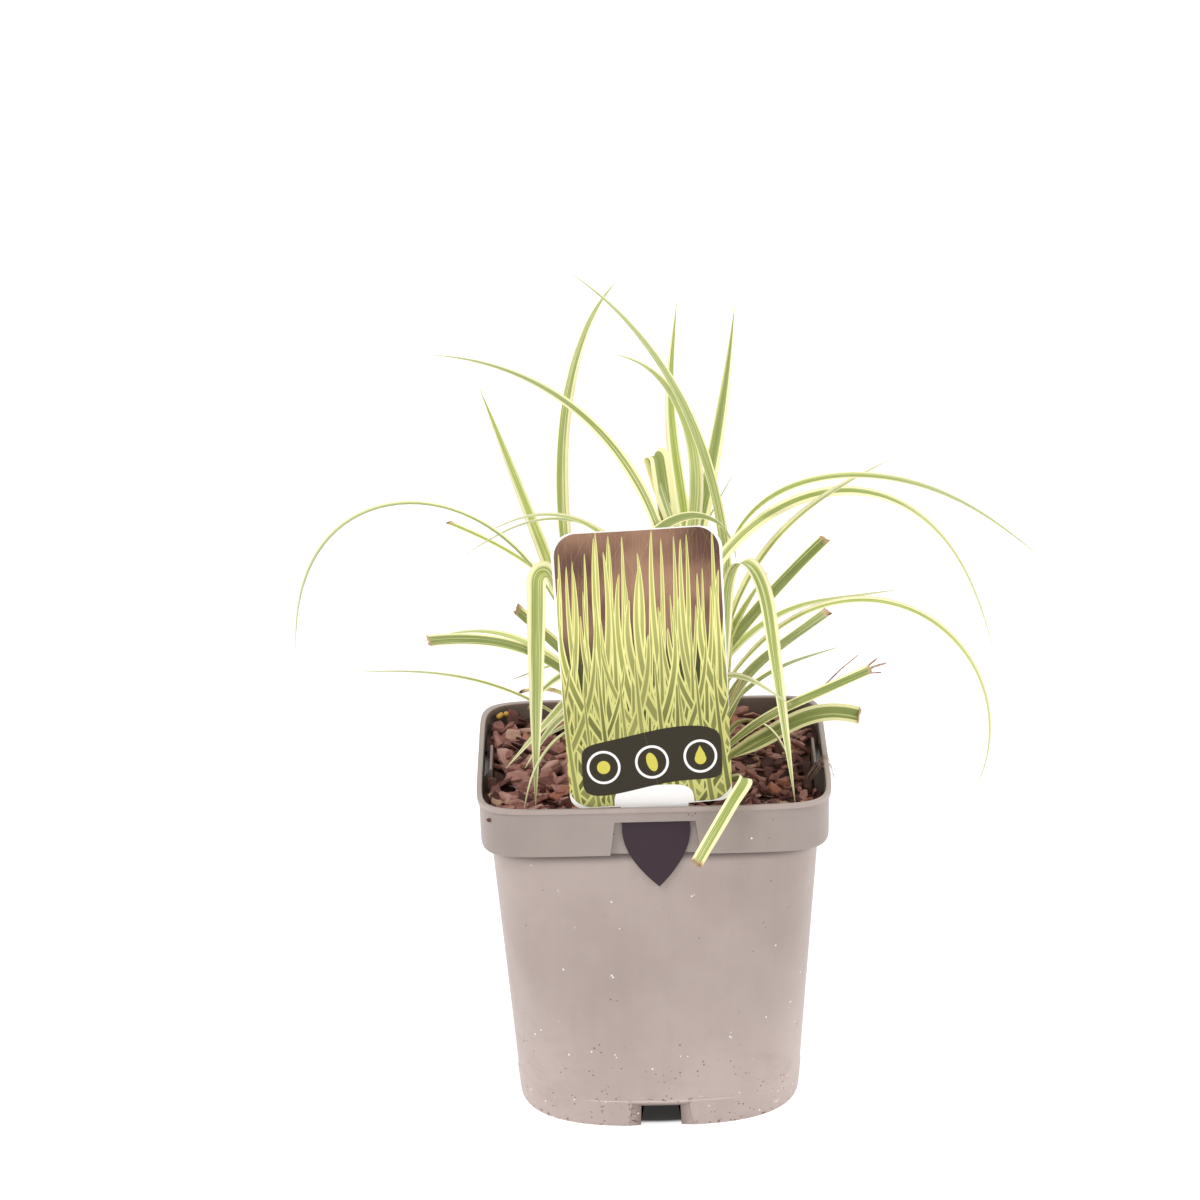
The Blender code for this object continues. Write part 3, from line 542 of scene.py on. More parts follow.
# Soil and bark
bark = {
    "bedTop": 152.6 * mm,
    "bedFoot": 150.4 * mm,
    "bedHalfWidth": 81.9 * mm,
    "rise": 8.0 * mm,
    "slopeWidth": 30.0 * mm,
    "chipCount": 820,
    "chipReach": 80.0 * mm,
    "chipSeed": 23,
    "chipSides": 7,
    "chipFoot": 153.6 * mm,
    "chipTop": 160.2 * mm,
    "chipLimit": 82.0 * mm,
    "patternSize": 12.0 * mm,
}


def shootPlaces():
    # Each shoot stands a golden angle on from the last, at a distance that grows as a square root
    order = np.arange(sedge["shoots"])
    turn = np.radians(goldenAngle * order)
    reach = sedge["spread"] * np.sqrt(order + 0.5)
    x, y = sedge["middle"]
    return np.stack([x + reach * np.cos(turn), y + reach * np.sin(turn)], -1)


def barkFinish():
    # Bark: long grain along each chip, reddish brown to pale, each chip with a tone of its own
    finish = Finish("pineBark", Roughness=0.85, Specular_IOR_Level=0.3)
    where = finish.place()
    tone = finish.mark("tone")
    grain = finish.noise(finish.place((60, 420, 1), of="UV"), 1.0, 5.0, 0.65, 0.6)
    lumps = finish.noise(where, 210.0, 4.0, 0.6)
    shade = finish.step(grain * 0.42 + lumps * 0.30 + tone * 0.42, 0.26, 0.94)
    colour = finish.ramp(shade, (0.0, (0.050, 0.022, 0.018)), (0.2, (0.17, 0.066, 0.055)),
                         (0.45, (0.40, 0.170, 0.145)), (0.75, (0.60, 0.320, 0.27)), (1.0, (0.74, 0.50, 0.42)))
    rust = finish.step(tone, 0.86, 0.9) * finish.fall(tone, 0.93, 0.95)
    colour = finish.mix(rust * 0.75, colour, (0.42, 0.13, 0.055))
    pale = finish.step(tone, 0.962, 0.975)
    colour = finish.mix(pale * 0.8, colour, (0.56, 0.38, 0.22))
    height = grain * 0.7 + lumps * 0.8
    return finish.show(Base_Color=colour, Roughness=0.72 + lumps * 0.25,
                       Normal=finish.bump(height, 0.7 * mm, 0.9))


def addSoil():
    # The soil block keeps its solid: dark clods with finer crumbs
    finish = Finish("pottingSoil", Roughness=0.95, Specular_IOR_Level=0.2)
    where = finish.place()
    crumbs = finish.cells(where, 420.0)
    clods = finish.noise(where, 160.0, 5.0, 0.7)
    colour = finish.ramp(clods * 0.7 + crumbs * 0.4, (0.25, (0.012, 0.007, 0.005)),
                         (0.6, (0.05, 0.030, 0.021)), (0.85, (0.12, 0.075, 0.05)))
    material = finish.show(Base_Color=colour, Normal=finish.bump(clods + crumbs * 0.6, 1.2 * mm))
    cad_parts["soil"].material_slots[0].material = material
    print("soil finished")


def mulchRise(x, y):
    # The mulch banks up towards the brim, over slopeWidth, and most of all at the back left
    bank = np.clip(0.7 + (0.5 * y - 0.25 * x) / pot["collarTop"], 0.1, 1.0)
    outward = np.maximum(np.abs(x), np.abs(y)) - pot["collarTop"] + bark["slopeWidth"]
    return bark["rise"] * bank * np.clip(outward / bark["slopeWidth"], 0.0, 1.0)


def bedHeight(x, y):
    # Fines roll in low waves that never repeat: a sum of sines of unrelated lengths
    waves = np.sin(x * 310 + np.sin(y * 170) * 2) + np.sin(y * 290 + np.sin(x * 230) * 2)
    fine = np.sin(x * 1300 + y * 700) * np.sin(y * 1500 - x * 500)
    return bark["bedTop"] + mulchRise(x, y) + (waves * 0.35 + fine * 0.35) * mm


def addBark():
    # A closed bed of fines, then chips laid on it. A chip is an angular outline r(t) carried over four
    # levels, thin at its edge, tilted and turned by seeded draws.
    draw = np.random.default_rng(bark["chipSeed"])
    count, sides, half = bark["chipCount"], bark["chipSides"], bark["chipReach"]

    def drawn(low, high):
        return draw.uniform(low, high, count)

    order = np.arange(count)
    x, y = ((order * ratio % 1.0 * 2 - 1) * half for ratio in (0.7548776662, 0.5698402910))
    length = drawn(8.0, 18.0) * (1 + 0.4 * (draw.random(count) > 0.8)) * mm
    width = length * drawn(0.30, 0.72)
    thick = drawn(1.3, 3.0) * mm * (0.6 + 0.4 * length / length.max())
    x, y = (np.clip(line + drawn(-3, 3) * mm, -half, half) for line in (x, y))
    big = 1.0 + 0.35 * np.clip(-x / half, -0.8, 0.8)
    length, width = length * big, width * big
    z = bark["chipFoot"] + order / count * 3.4 * mm + drawn(-0.6, 0.6) * mm + mulchRise(x, y)
    yaw = drawn(0, math.tau)
    near, far = np.sort(np.abs([x, y]), axis=0)
    edge = far > half - 5 * mm
    yaw = np.where(edge, np.where(np.abs(x) > np.abs(y), math.pi / 2, 0.0) + drawn(-0.25, 0.25), yaw)
    length = np.where(edge, np.minimum(length, 13 * mm), length)
    width = np.where(edge, np.minimum(width, 6.5 * mm), width)
    pitch, roll = draw.normal(0, 0.40, count), draw.normal(0, 0.42, count)
    inPocket = (near < 27 * mm) & (far > 73.5 * mm)
    gaps = np.hypot(x[:, None] - shootPlaces()[:, 0], y[:, None] - shootPlaces()[:, 1]).min(1)
    rounded = (np.abs(x / half) ** 8 + np.abs(y / half) ** 8) ** 0.125 < 0.985
    keep = ~inPocket & (gaps > 5.2 * mm) & rounded
    turn = np.arange(sides) * math.tau / sides + draw.uniform(-0.22, 0.22, (count, sides))
    radius = draw.uniform(0.55, 1.15, (count, sides))
    rings = []
    for level, size in ((-0.5, 0.80), (-0.3, 1.0), (0.26, 1.0), (0.5, 0.86)):
        ragged = size * draw.uniform(0.86, 1.1, (count, sides)) * radius
        up = level + draw.uniform(-0.16, 0.16, (count, sides))
        rings.append(np.stack([ragged * np.cos(turn), ragged * np.sin(turn), up], -1))
    poles = np.zeros((count, 2, 3))
    poles[:, 0, 2], poles[:, 1, 2] = -0.55, drawn(0.35, 0.75)
    local = np.concatenate([*rings, poles], 1) * np.stack([length / 2, width / 2, thick], -1)[:, None, :]
    uvs = local[..., :2] / bark["patternSize"] + draw.uniform(0, 40, (count, 1, 2))
    along, across, up = np.moveaxis(local, -1, 0)
    across, up = spun(across, up, roll[:, None])
    up, along = spun(up, along, pitch[:, None])
    along, across = spun(along, across, yaw[:, None])
    limit = bark["chipLimit"]
    x, y = (np.clip(line, -limit, limit) for line in (along + x[:, None], across + y[:, None]))
    z = np.clip(up + z[:, None], bark["bedFoot"] + 0.2 * mm, bark["chipTop"] + mulchRise(x, y))
    chips = np.stack([x, y, z], -1)[keep]
    kept, perChip = chips.shape[:2]
    tone = np.repeat(draw.random(count)[keep], perChip)
    shift = (np.arange(kept) * perChip)[:, None, None]
    faces = [(part + shift).reshape(-1, part.shape[1]) for part in tubeFaces(4, sides)]
    bedPoints, bedFaces, bedUvs = bedMesh(kept * perChip)
    points = np.concatenate([chips.reshape(-1, 3), bedPoints])
    uvs = np.concatenate([uvs[keep].reshape(-1, 2), bedUvs])
    tones = np.concatenate([tone, np.full(len(bedPoints), 0.05)])
    piece = addPiece("bark_chips", points, faces + bedFaces, barkFinish(), uvs, {"tone": tones}, sharp=32)
    belongs(piece, "bark", "bark_mulch")
    print("bark laid:", kept, "chips")


def bedMesh(start):
    # The bed's top is a grid over the mouth, pressed into the outline; its foot is the same grid laid flat
    steps, power, face = 90, pot["collarRoundness"], 77.4 * mm
    u, v = np.meshgrid(*[np.linspace(-1, 1, steps)] * 2)
    longest = np.maximum(np.abs(u), np.abs(v)) + 1e-9
    squash = longest / (np.abs(u) ** power + np.abs(v) ** power + 1e-30) ** (1 / power)
    x, y = u * squash * bark["bedHalfWidth"], v * squash * bark["bedHalfWidth"]
    near, far = np.sort(np.abs([x, y]), axis=0)
    inPocket, isWide = (near < 26 * mm) & (far > face), np.abs(x) > np.abs(y)
    x, y = (np.where(inPocket & isWide, np.sign(x) * face, x),
            np.where(inPocket & ~isWide, np.sign(y) * face, y))
    levels = (bedHeight(x, y), np.full_like(x, bark["bedFoot"]))
    sheets = [np.stack([x, y, z], -1).reshape(-1, 3) for z in levels]
    size = steps * steps
    above = gridFaces(steps, steps, start=start)
    below = gridFaces(steps, steps, start=start + size)[:, ::-1]
    line = np.arange(size).reshape(steps, steps)
    edges = (line[0], line[:, -1], line[-1, ::-1], line[::-1, 0])
    rims = [start + np.stack([edge[:-1] + size, edge[1:] + size, edge[1:], edge[:-1]], -1) for edge in edges]
    points = np.concatenate(sheets)
    return points, [above, below, *rims], points[:, :2] / bark["patternSize"]


# The sedge's leaves
sedge = {
    "shoots": 11,
    "middle": (7.0 * mm, 0.0),
    "spread": 9.0 * mm,
    "sheathRadii": (4.4 * mm, 3.0 * mm),
    "sheathHeights": (151.0 * mm, 177.5 * mm),
    "rootHeight": 158.0 * mm,
    "steps": 60,
    "bendSteps": 24,
    "fineSamples": 48,
    "across": (-1.0, -0.9, -0.7, -0.46, -0.22, 0.0, 0.22, 0.46, 0.7, 0.9, 1.0),
    "channel": 0.16,
    "fold": 0.42,
    "skin": 0.21 * mm,
    "edgeSkin": 0.06 * mm,
    "keel": 0.14 * mm,
    "rib": 0.05,
    "finestTip": 0.22 * mm,
    "holeRadius": 4.95 * mm,
    "backCount": 24,
    "backTries": 1500,
    "backSeed": 5,
    "lookSeed": 41,
    "gap": 3.4 * mm,
    "sightSlope": 0.3,
    "amidMiddle": -4.0 * mm,
    "amidHalfWidth": 44.0 * mm,
    "amidHeight": 283.0 * mm,
    "behindHeight": 189.0 * mm,
    "scalesPerShoot": 4,
    "cream": (0.92, 0.88, 0.42),
    "paleCream": (0.96, 0.93, 0.60),
    "green": (0.50, 0.58, 0.12),
    "deepGreen": (0.235, 0.285, 0.075),
    "greyGreen": (0.44, 0.50, 0.23),
    "tipGrey": (0.62, 0.64, 0.42),
    "tan": (0.70, 0.50, 0.30),
    "brown": (0.22, 0.105, 0.055),
}

# What each point of a leaf carries for the finish
leafMarks = ("tone", "margin", "lean", "dry", "fade", "under")

# Each leaf: shoot, bearing and its turn, rise and droop in degrees, the stretch of the leaf over which
# it bends, length and width in mm, twist in degrees, and how it ends
leaves = (
    (1, 141, -3, 43, 66, 0.10, 0.99, 171, 3.8, 30, "fine"),
    (9, 184, -1, 54, 54, -0.19, 1.05, 140, 2.8, 20, "fine"),
    (2, 151, 1, 95, 102, 0.12, 1.14, 282, 6.0, 30, "fine"),
    (2, 18, 19, 101, 231, 0.40, 1.23, 191, 5.4, -40, "fine"),
    (2, -4, -25, 61, 199, 0.11, 1.24, 269, 4.2, -30, "fine"),
    (2, -46, -4, 67, 80, 0.28, 0.88, 123, 3.6, -60, "fine"),
    (3, 41, 2, 41, 41, 0.06, 0.84, 116, 3.0, -20, "fine"),
    (9, 147, 0, 71, 5, 0.00, 0.80, 197, 6.4, 30, "fine"),
    (4, -141, 14, 111, 100, 0.37, 1.13, 249, 8.4, -20, "fine"),
    (4, 50, -6, 61, -23, 0.15, 1.22, 236, 7.2, -10, "fine"),
    (4, 160, -1, 96, 126, 0.33, 1.03, 190, 4.4, 30, "fine"),
    (8, -24, 1, 90, 61, 0.01, 1.02, 201, 5.4, -50, "fine"),
    (5, -20, -1, 74, 36, 0.11, 0.79, 114, 6.4, 40, "cut"),
    (5, 35, -1, 65, 14, 0.00, 1.00, 49, 4.2, -10, "fine"),
    (5, 139, -2, 81, 194, 0.58, 0.68, 258, 8.0, 80, "fine"),
    (6, 46, 0, 84, 40, 0.02, 1.02, 152, 2.2, 0, "fine"),
    (6, 30, 0, 51, 18, 0.01, 1.12, 139, 7.2, -20, "cut"),
    (6, 46, -2, 37, 44, 0.18, 0.77, 196, 4.0, -30, "fine"),
    (6, -162, 0, 69, 120, 0.24, 1.02, 99, 6.2, 40, "fine"),
    (6, 150, 0, 67, 53, 0.06, 1.02, 165, 3.2, 20, "cut"),
    (9, 166, -1, 105, 138, 0.25, 0.97, 204, 3.4, 20, "fine"),
    (6, -162, 0, 57, 12, 0.01, 0.91, 109, 7.0, 50, "cut"),
    (6, 154, -3, 57, 83, 0.21, 0.90, 101, 3.0, 20, "fine"),
    (7, 178, -26, 67, 160, 0.25, 1.05, 312, 3.8, -50, "fine"),
    (7, -156, 2, 80, 121, 0.26, 0.70, 126, 5.2, 40, "fine"),
    (7, -148, 2, 70, 120, 0.21, 0.91, 105, 5.0, 40, "fine"),
    (7, -145, 2, 66, 154, 0.51, 0.55, 252, 8.4, 60, "fine"),
    (7, -149, 5, 62, 56, 0.11, 1.06, 163, 5.2, 50, "cut"),
    (8, -62, 78, 90, 131, 0.13, 0.97, 305, 4.0, -50, "fine"),
    (8, 5, 1, 28, 52, 0.44, 1.13, 76, 7.4, -40, "cut"),
    (8, -64, -3, 81, 154, 0.34, 0.66, 248, 8.0, -10, "fine"),
    (8, 6, -1, 92, 37, 0.09, 0.97, 104, 6.0, -40, "fine"),
    (8, -156, 17, 98, 82, -0.01, 1.49, 286, 6.2, -30, "fine"),
    (8, 122, 6, 77, -24, 0.60, 0.93, 232, 7.2, 0, "fine"),
    (9, -58, -13, 115, 98, 0.10, 1.27, 285, 7.2, 0, "fine"),
    (10, 20, 13, 109, 183, -0.08, 1.05, 330, 4.0, -50, "fine"),
    (10, -28, 7, 54, 26, 0.00, 0.70, 116, 6.4, -40, "cut"),
    (10, -64, -84, 22, 74, 0.52, 0.66, 112, 6.0, 30, "cut"),
)

# What some rows take instead, by row: width, twist, bending stretch, and tone, margin and lean of their look
widths = {3: 7.2, 7: 8.4, 9: 9.8, 12: 7.6, 14: 13.0, 23: 3.2,
          26: 9.8, 27: 6.2, 29: 8.8, 33: 9.0, 35: 5.8, 37: 7.0}
twists = {7: 15, 14: 10, 29: -70}
bends = {14: (0.61, 0.65), 26: (0.50, 0.56), 37: (0.46, 0.72)}
tints = {
    3: (0.2, 0.74, 0.0), 6: (0.1, 0.80), 8: (0.85, 0.76, 0.0), 12: (0.1, 0.80, 0.1), 14: (0.3, 0.50, 0.0),
    15: (0.1, 0.90), 16: (0.1, 0.82, 0.0), 21: (0.1, 0.80), 23: (0.15, 0.70), 26: (0.50, 0.60, -0.06),
    27: (0.1, 0.76, 0.0), 29: (0.25, 0.64, 0.0), 30: (0.6, 0.60, 0.1), 32: (0.5, 0.76, 0.0),
    33: (0.75, 0.5, 0.3), 34: (0.6, 0.55, 0.35), 36: (0.2, 0.70, 0.0), 37: (0.5, 0.5),
}
dryRows = {21: 0.1, 37: 0.12}

# Two short old ends that stand beside the rows
oldEnds = (
    (10, 11, 1, 68, 6, 0.0, 1.0, 60, 2.4, -20, "cut"),
    (7, 149, -13, 52, 84, 0.20, 1.17, 91, 3.2, 20, "cut"),
)


def leafFrame(leaf, share):
    # Pitch and bearing turn by a smooth step over the bending stretch, and the middle line adds up the
    # short steps taken along them. Across and upper roll about it over the leaf's first two fifths.
    shoot, bearing, turn, rise, droop, begin, end, length, _, twist, _ = leaf
    bend = smooth((share - begin) / (end - begin))
    pitch, heading = np.radians(rise - droop * bend), np.radians(bearing + turn * bend)
    ahead = np.stack([np.cos(pitch) * np.cos(heading), np.cos(pitch) * np.sin(heading), np.sin(pitch)], -1)
    stride = (ahead[1:] + ahead[:-1]) / 2 * length * mm * np.diff(share)[:, None]
    start = np.array([*shootPlaces()[shoot], sedge["rootHeight"]])
    middle = start + np.vstack([np.zeros(3), np.cumsum(stride, axis=0)])
    side = np.stack([np.sin(heading), -np.cos(heading), np.zeros_like(heading)], -1)
    roll = (np.radians(twist) * np.minimum(1.0, share / 0.4))[:, None]
    upper, across = spun(np.cross(side, ahead), side, roll)
    return middle, across, upper, ahead


def leafWidth(share, width, end, least):
    # Narrow in the sheath, widest at a third, and drawn out to a point unless the leaf was cut
    spread = width * np.minimum(1.0, 0.6 + 1.6 * share)
    if end == "fine":
        spread = spread * (1.0 - np.clip((share - 0.45) / 0.55, 0.0, 1.0) ** 2.2)
    return np.maximum(spread * mm, least)


def leafSamples(leaf):
    # Points over the middle and both edges, past the root, to measure gaps from
    share = np.linspace(0.0, 1.0, sedge["fineSamples"] + 1)
    middle, across = (line[3:] for line in leafFrame(leaf, share)[:2])
    half = (leafWidth(share, leaf[8], leaf[10], 1.0 * mm)[3:] / 2)[:, None]
    return np.concatenate([middle - half * across, middle, middle + half * across])


def hasRoom(leaf, points, placed):
    # True if a hidden leaf keeps behind the front of the clump and clear of every other shoot's leaves
    x, y, z = points.T
    lifted = z + sedge["sightSlope"] * y
    amid = (np.abs(x - sedge["amidMiddle"]) < sedge["amidHalfWidth"]) & (lifted < sedge["amidHeight"])
    behind = (np.abs(x) < pot["bodyTopHalfWidth"]) & (lifted < sedge["behindHeight"])
    out = np.hypot(*(points[:, :2] - shootPlaces()[leaf[0]]).T) > sedge["holeRadius"]
    reach = np.max(np.abs(points[:, :2]), axis=1)
    inMouth = reach < pot["collarTop"] - pot["wall"] - sedge["gap"]
    floor = np.where(inMouth, sedge["rootHeight"] + mulchRise(x, y), pot["height"]) + sedge["gap"]
    low = out & (reach < pot["halfWidth"] + sedge["gap"]) & (z < floor)
    slope = math.tan(label["lean"])
    past = y < (z - label["bendHeight"]) * slope - label["faceFromAxis"] + sedge["gap"]
    if not np.all(amid | behind) or np.any(low) or np.any(past):
        return False
    for other, others in placed:
        if other != leaf[0]:
            between = points[:, None, :] - others[None, :, :]
            if np.min(np.sum(between * between, -1)) < sedge["gap"] ** 2:
                return False
    return True


def hiddenLeaves():
    # Leaves at the back, drawn by a seeded rule and kept where there is room
    draw = np.random.default_rng(sedge["backSeed"])
    placed = [(leaf[0], leafSamples(leaf)) for leaf in leaves]
    kept = []
    for _ in range(sedge["backTries"]):
        if len(kept) == sedge["backCount"]:
            break
        isLong = draw.random() < 0.6
        leaf = (int(draw.integers(sedge["shoots"])),
                draw.uniform(50, 130) if isLong else draw.uniform(-180, 180),
                draw.uniform(-15, 15), draw.uniform(62, 86), draw.uniform(50, 165), 0.1, 1.05,
                draw.uniform(120, 290) if isLong else draw.uniform(60, 130),
                draw.uniform(3.6, 6.4), draw.uniform(-30, 30), "fine")
        points = leafSamples(leaf)
        if hasRoom(leaf, points, placed):
            kept.append(leaf)
            placed.append((leaf[0], points))
    return kept


def leafMesh(leaf, look, offset=0.0):
    # Across the leaf, u runs from -1 to 1: its height is a channel 2|u|^1.2 - 1 with two low ribs, folded
    # up at the root, and its skin thins to the edges with a keel below. look holds what the finish reads.
    length, width, end = leaf[7], leaf[8], leaf[10]
    bends = np.clip(np.linspace(leaf[5], leaf[6], sedge["bendSteps"]), 0.0, 1.0)
    share = np.unique(np.concatenate([np.linspace(0.0, 1.0, sedge["steps"] + 1), bends]))
    middle, across, upper, ahead = leafFrame(leaf, share)
    bearing = math.radians(leaf[1])
    middle = middle + offset * np.array([math.cos(bearing), math.sin(bearing), 0.0])
    half = leafWidth(share, width, end, sedge["finestTip"])[:, None] / 2
    u = np.array(sedge["across"])[None, :]
    fold = sedge["channel"] + sedge["fold"] * np.clip(1 - share / 0.3, 0, 1)[:, None] ** 2
    fold = fold + 0.12 * np.clip((share - 0.7) / 0.3, 0, 1)[:, None]
    ribs = sedge["rib"] * np.exp(-((np.abs(u) - 0.5) / 0.13) ** 2)
    ripple = look["ripple"] * np.sin(share * length / 9 + look["tone"] * 9)[:, None] * u
    lift = half * (fold * (2 * np.abs(u) ** 1.2 - 1) + ribs + ripple)
    narrow = np.sqrt(np.maximum(1 - (fold * 1.1) ** 2, 0.2))
    skin = np.minimum(between(sedge["edgeSkin"], sedge["skin"], 1 - u ** 4), half * 0.8)
    keel = np.minimum(sedge["keel"], half * 0.5) * np.exp(-(u / 0.12) ** 2)
    flat = middle[:, None] + (half * u * narrow)[..., None] * across[:, None]
    if end == "cut":
        torn = np.clip((share - 0.96) / 0.04, 0, 1)[:, None] ** 2
        jag = np.sin(u * 5 + look["tone"] * 40) * 0.8 + np.sin(u * 13 + look["tone"] * 17) * 0.4
        flat = flat + (torn * jag * mm)[..., None] * ahead[:, None]
    top, low = (flat + (lift + depth)[..., None] * upper[:, None] for depth in (skin, -skin - keel))
    ring = np.concatenate([top, low[:, -2:0:-1]], 1)
    rows, columns = ring.shape[:2]
    place = np.concatenate([u[0], u[0, -2:0:-1]]) / 2 + 0.5
    uvs = np.stack(np.broadcast_arrays(place[None, :], (share * length / 100)[:, None]), -1)
    dryness = smooth((share - look["dryFrom"]) / max(1 - look["dryFrom"], 0.01)) * look["dryTip"]
    fade = smooth((share - 0.5) / 0.5) * np.clip((8.0 - width) / 4.0, 0.2, 1.0) * (end == "fine")
    marks = {key: look[key] for key in ("tone", "margin", "lean")}
    marks["dry"] = np.repeat(np.clip(look["dry"] + dryness, 0, 1), columns)
    marks["fade"] = np.repeat(fade, columns)
    marks["under"] = np.tile(np.arange(columns) >= u.size, rows)
    faces = [part[:, ::-1] for part in cardFaces(rows, columns)]
    return ring.reshape(-1, 3), faces, uvs.reshape(-1, 2), marks


def sheathMesh(place, tone):
    # A three-sided stem of overlapping sheaths: r = taper (1 + 0.07 cos 3t) with a small step where each
    # sheath ends, closed by a cone
    rows, sides = 26, 24
    share = np.linspace(0, 1, rows)
    circle, turn = ringOf(sides), np.arange(sides) * math.tau / sides
    foot, top = sedge["sheathHeights"]
    radius = between(*sedge["sheathRadii"], share ** 0.8)[:, None]
    steps = (share[:, None] * 3.0 + np.cos(turn + tone * 9) * 0.35) % 1.0
    radius = radius * (1 + 0.07 * np.cos(3 * turn + tone * 7)) + (0.5 - steps) * 0.5 * mm
    radius = radius * np.where(share > 0.93, 0.55, 1.0)[:, None]
    rings = circle * radius[..., None] + np.array([*place, 0.0])
    rings[..., 2] = between(foot, top, share)[:, None]
    points = np.concatenate([rings.reshape(-1, 3), [[*place, foot], [*place, top + 1 * mm]]])
    uvs = np.stack(np.broadcast_arrays(0.5 + 0.45 * np.cos(3 * turn), (share * 0.3)[:, None]), -1)
    uvs = np.concatenate([uvs.reshape(-1, 2), [[0.5, 0.0], [0.5, 0.3]]])
    dry = np.append(np.repeat(np.clip(0.95 - share * 1.15, 0.0, 1.0), sides), [0.9, 0.0])
    marks = {"tone": tone, "margin": 0.55, "lean": 0.0, "dry": dry, "fade": 0.0, "under": 0.3}
    return points, tubeFaces(rows, sides), uvs, marks


def leafFinish():
    # Green middle with fine pale lines, cream margins that wander a little, tan rims, brown dry ends and
    # greyer thin tips
    finish = Finish("sedgeLeaf", Roughness=0.40, Specular_IOR_Level=0.42)
    step, mix, noise, joined = finish.step, finish.mix, finish.noise, finish.joined
    across, along, _ = finish.parts(finish.place(of="UV"))
    tone, margin, lean, dry, fade, under = (finish.mark(key) for key in leafMarks)
    wander = noise(joined(along * 3.0, tone * 70.0), 1.0, 1.0) - 0.5
    streaks = noise(joined(across * 16.0 + tone * 90.0, along * 1.1, tone * 50.0), 1.0, 2.0, 0.55)
    hairs = noise(joined(across * 55.0 + tone * 31.0, along * 1.6, tone * 20.0), 1.0)
    side = abs(across * 2.0 - 1.0 - lean + wander * 0.14)
    pale = step(side + (streaks - 0.5) * 0.16, margin - 0.05, margin + 0.05)
    lines = step(streaks, 0.55, 0.63) * 0.7 * (1.0 - pale)
    green = mix(step(tone * 0.55 + hairs * 0.5, 0.25, 0.8), sedge["deepGreen"], sedge["green"])
    green = mix(finish.fall(streaks, 0.38, 0.5) * 0.5, green, sedge["deepGreen"])
    light = mix(under * 0.35, green, sedge["greyGreen"])
    cream = mix(step(hairs + tone * 0.3, 0.4, 0.85), sedge["cream"], sedge["paleCream"])
    colour = mix(finish.higher(pale, lines), light, cream)
    colour = mix(fade * 0.65, colour, sedge["tipGrey"])
    rim = step(side, 0.90, 1.0) * step(tone + wander, 0.35, 0.8)
    colour = mix(rim * 0.45, colour, sedge["tan"])
    blotch = noise(joined(across * 3.0 + tone * 11.0, along * 9.0, tone * 5.0), 1.0, 4.0, 0.7)
    worn = step(dry + (blotch - 0.5) * 0.7 * step(dry, 0.02, 0.3), 0.25, 0.7)
    old = mix(step(dry + hairs * 0.4, 0.6, 1.2), sedge["tan"], sedge["brown"])
    colour = mix(worn, colour, old)
    veins = hairs * 0.6 + streaks * 0.4
    rough = 0.36 + hairs * 0.12 + worn * 0.3
    return finish.show(Base_Color=colour, Roughness=rough, Normal=finish.bump(veins, 0.18 * mm, 0.6))


def leafLook(draw, leaf):
    cut = leaf[10] == "cut"
    return {
        "tone": draw.random(),
        "margin": draw.uniform(0.38, 0.66),
        "lean": draw.uniform(-0.24, 0.24),
        "ripple": draw.uniform(0.0, 0.05),
        "dryFrom": draw.uniform(0.95, 0.975) if cut else draw.uniform(0.88, 0.99),
        "dryTip": 0.6 if cut else draw.uniform(0.1, 0.7),
    }


def chosenRow(row, leaf):
    begin, end = bends.get(row, leaf[5:7])
    return (*leaf[:5], begin, end, leaf[7], widths.get(row, leaf[8]), twists.get(row, leaf[9]), leaf[10])


def addShoots():
    draw = np.random.default_rng(sedge["lookSeed"])
    finish = leafFinish()
    every = [chosenRow(row, leaf) for row, leaf in enumerate(leaves)] + hiddenLeaves()
    looks = [leafLook(draw, leaf) | {"dry": dryRows.get(row, 0.0)} for row, leaf in enumerate(every)]
    looks = [look | dict(zip(leafMarks, tints.get(row, ()))) for row, look in enumerate(looks)]
    looks += [leafLook(draw, leaf) | {"dry": 0.5} for leaf in oldEnds]
    every += oldEnds
    for shoot in range(sedge["shoots"]):
        parts = [sheathMesh(shootPlaces()[shoot], draw.random())]
        parts += [leafMesh(leaf, look) for leaf, look in zip(every, looks) if leaf[0] == shoot]
        for scale in range(sedge["scalesPerShoot"]):
            bearing = scale * goldenAngle + shoot * 50 + draw.uniform(-15, 15)
            old = draw.uniform(0.25, 0.9)
            remnant = (shoot, bearing, 0, draw.uniform(74, 88), draw.uniform(-5, 25), 0.2, 1.0,
                       draw.uniform(16, 42), draw.uniform(3.6, 5.4), 0, "cut" if scale % 2 else "fine")
            look = leafLook(draw, remnant) | {"dry": old, "dryFrom": 0.6, "dryTip": 0.6}
            parts.append(leafMesh(remnant, look, 2.6 * mm))
        points, faces = gather([part[:2] for part in parts])
        uvs = np.concatenate([part[2] for part in parts])
        marks = {key: np.concatenate([np.broadcast_to(part[3][key], len(part[0])) for part in parts])
                 for key in leafMarks}
        node = f"shoot_{shoot + 1:02d}"
        piece = addPiece(f"leaves_of_{node}", points, faces, finish, uvs, marks, sharp=60)
        belongs(piece, "leaf", node)
    print("sedge grown:", len(every), "leaves")


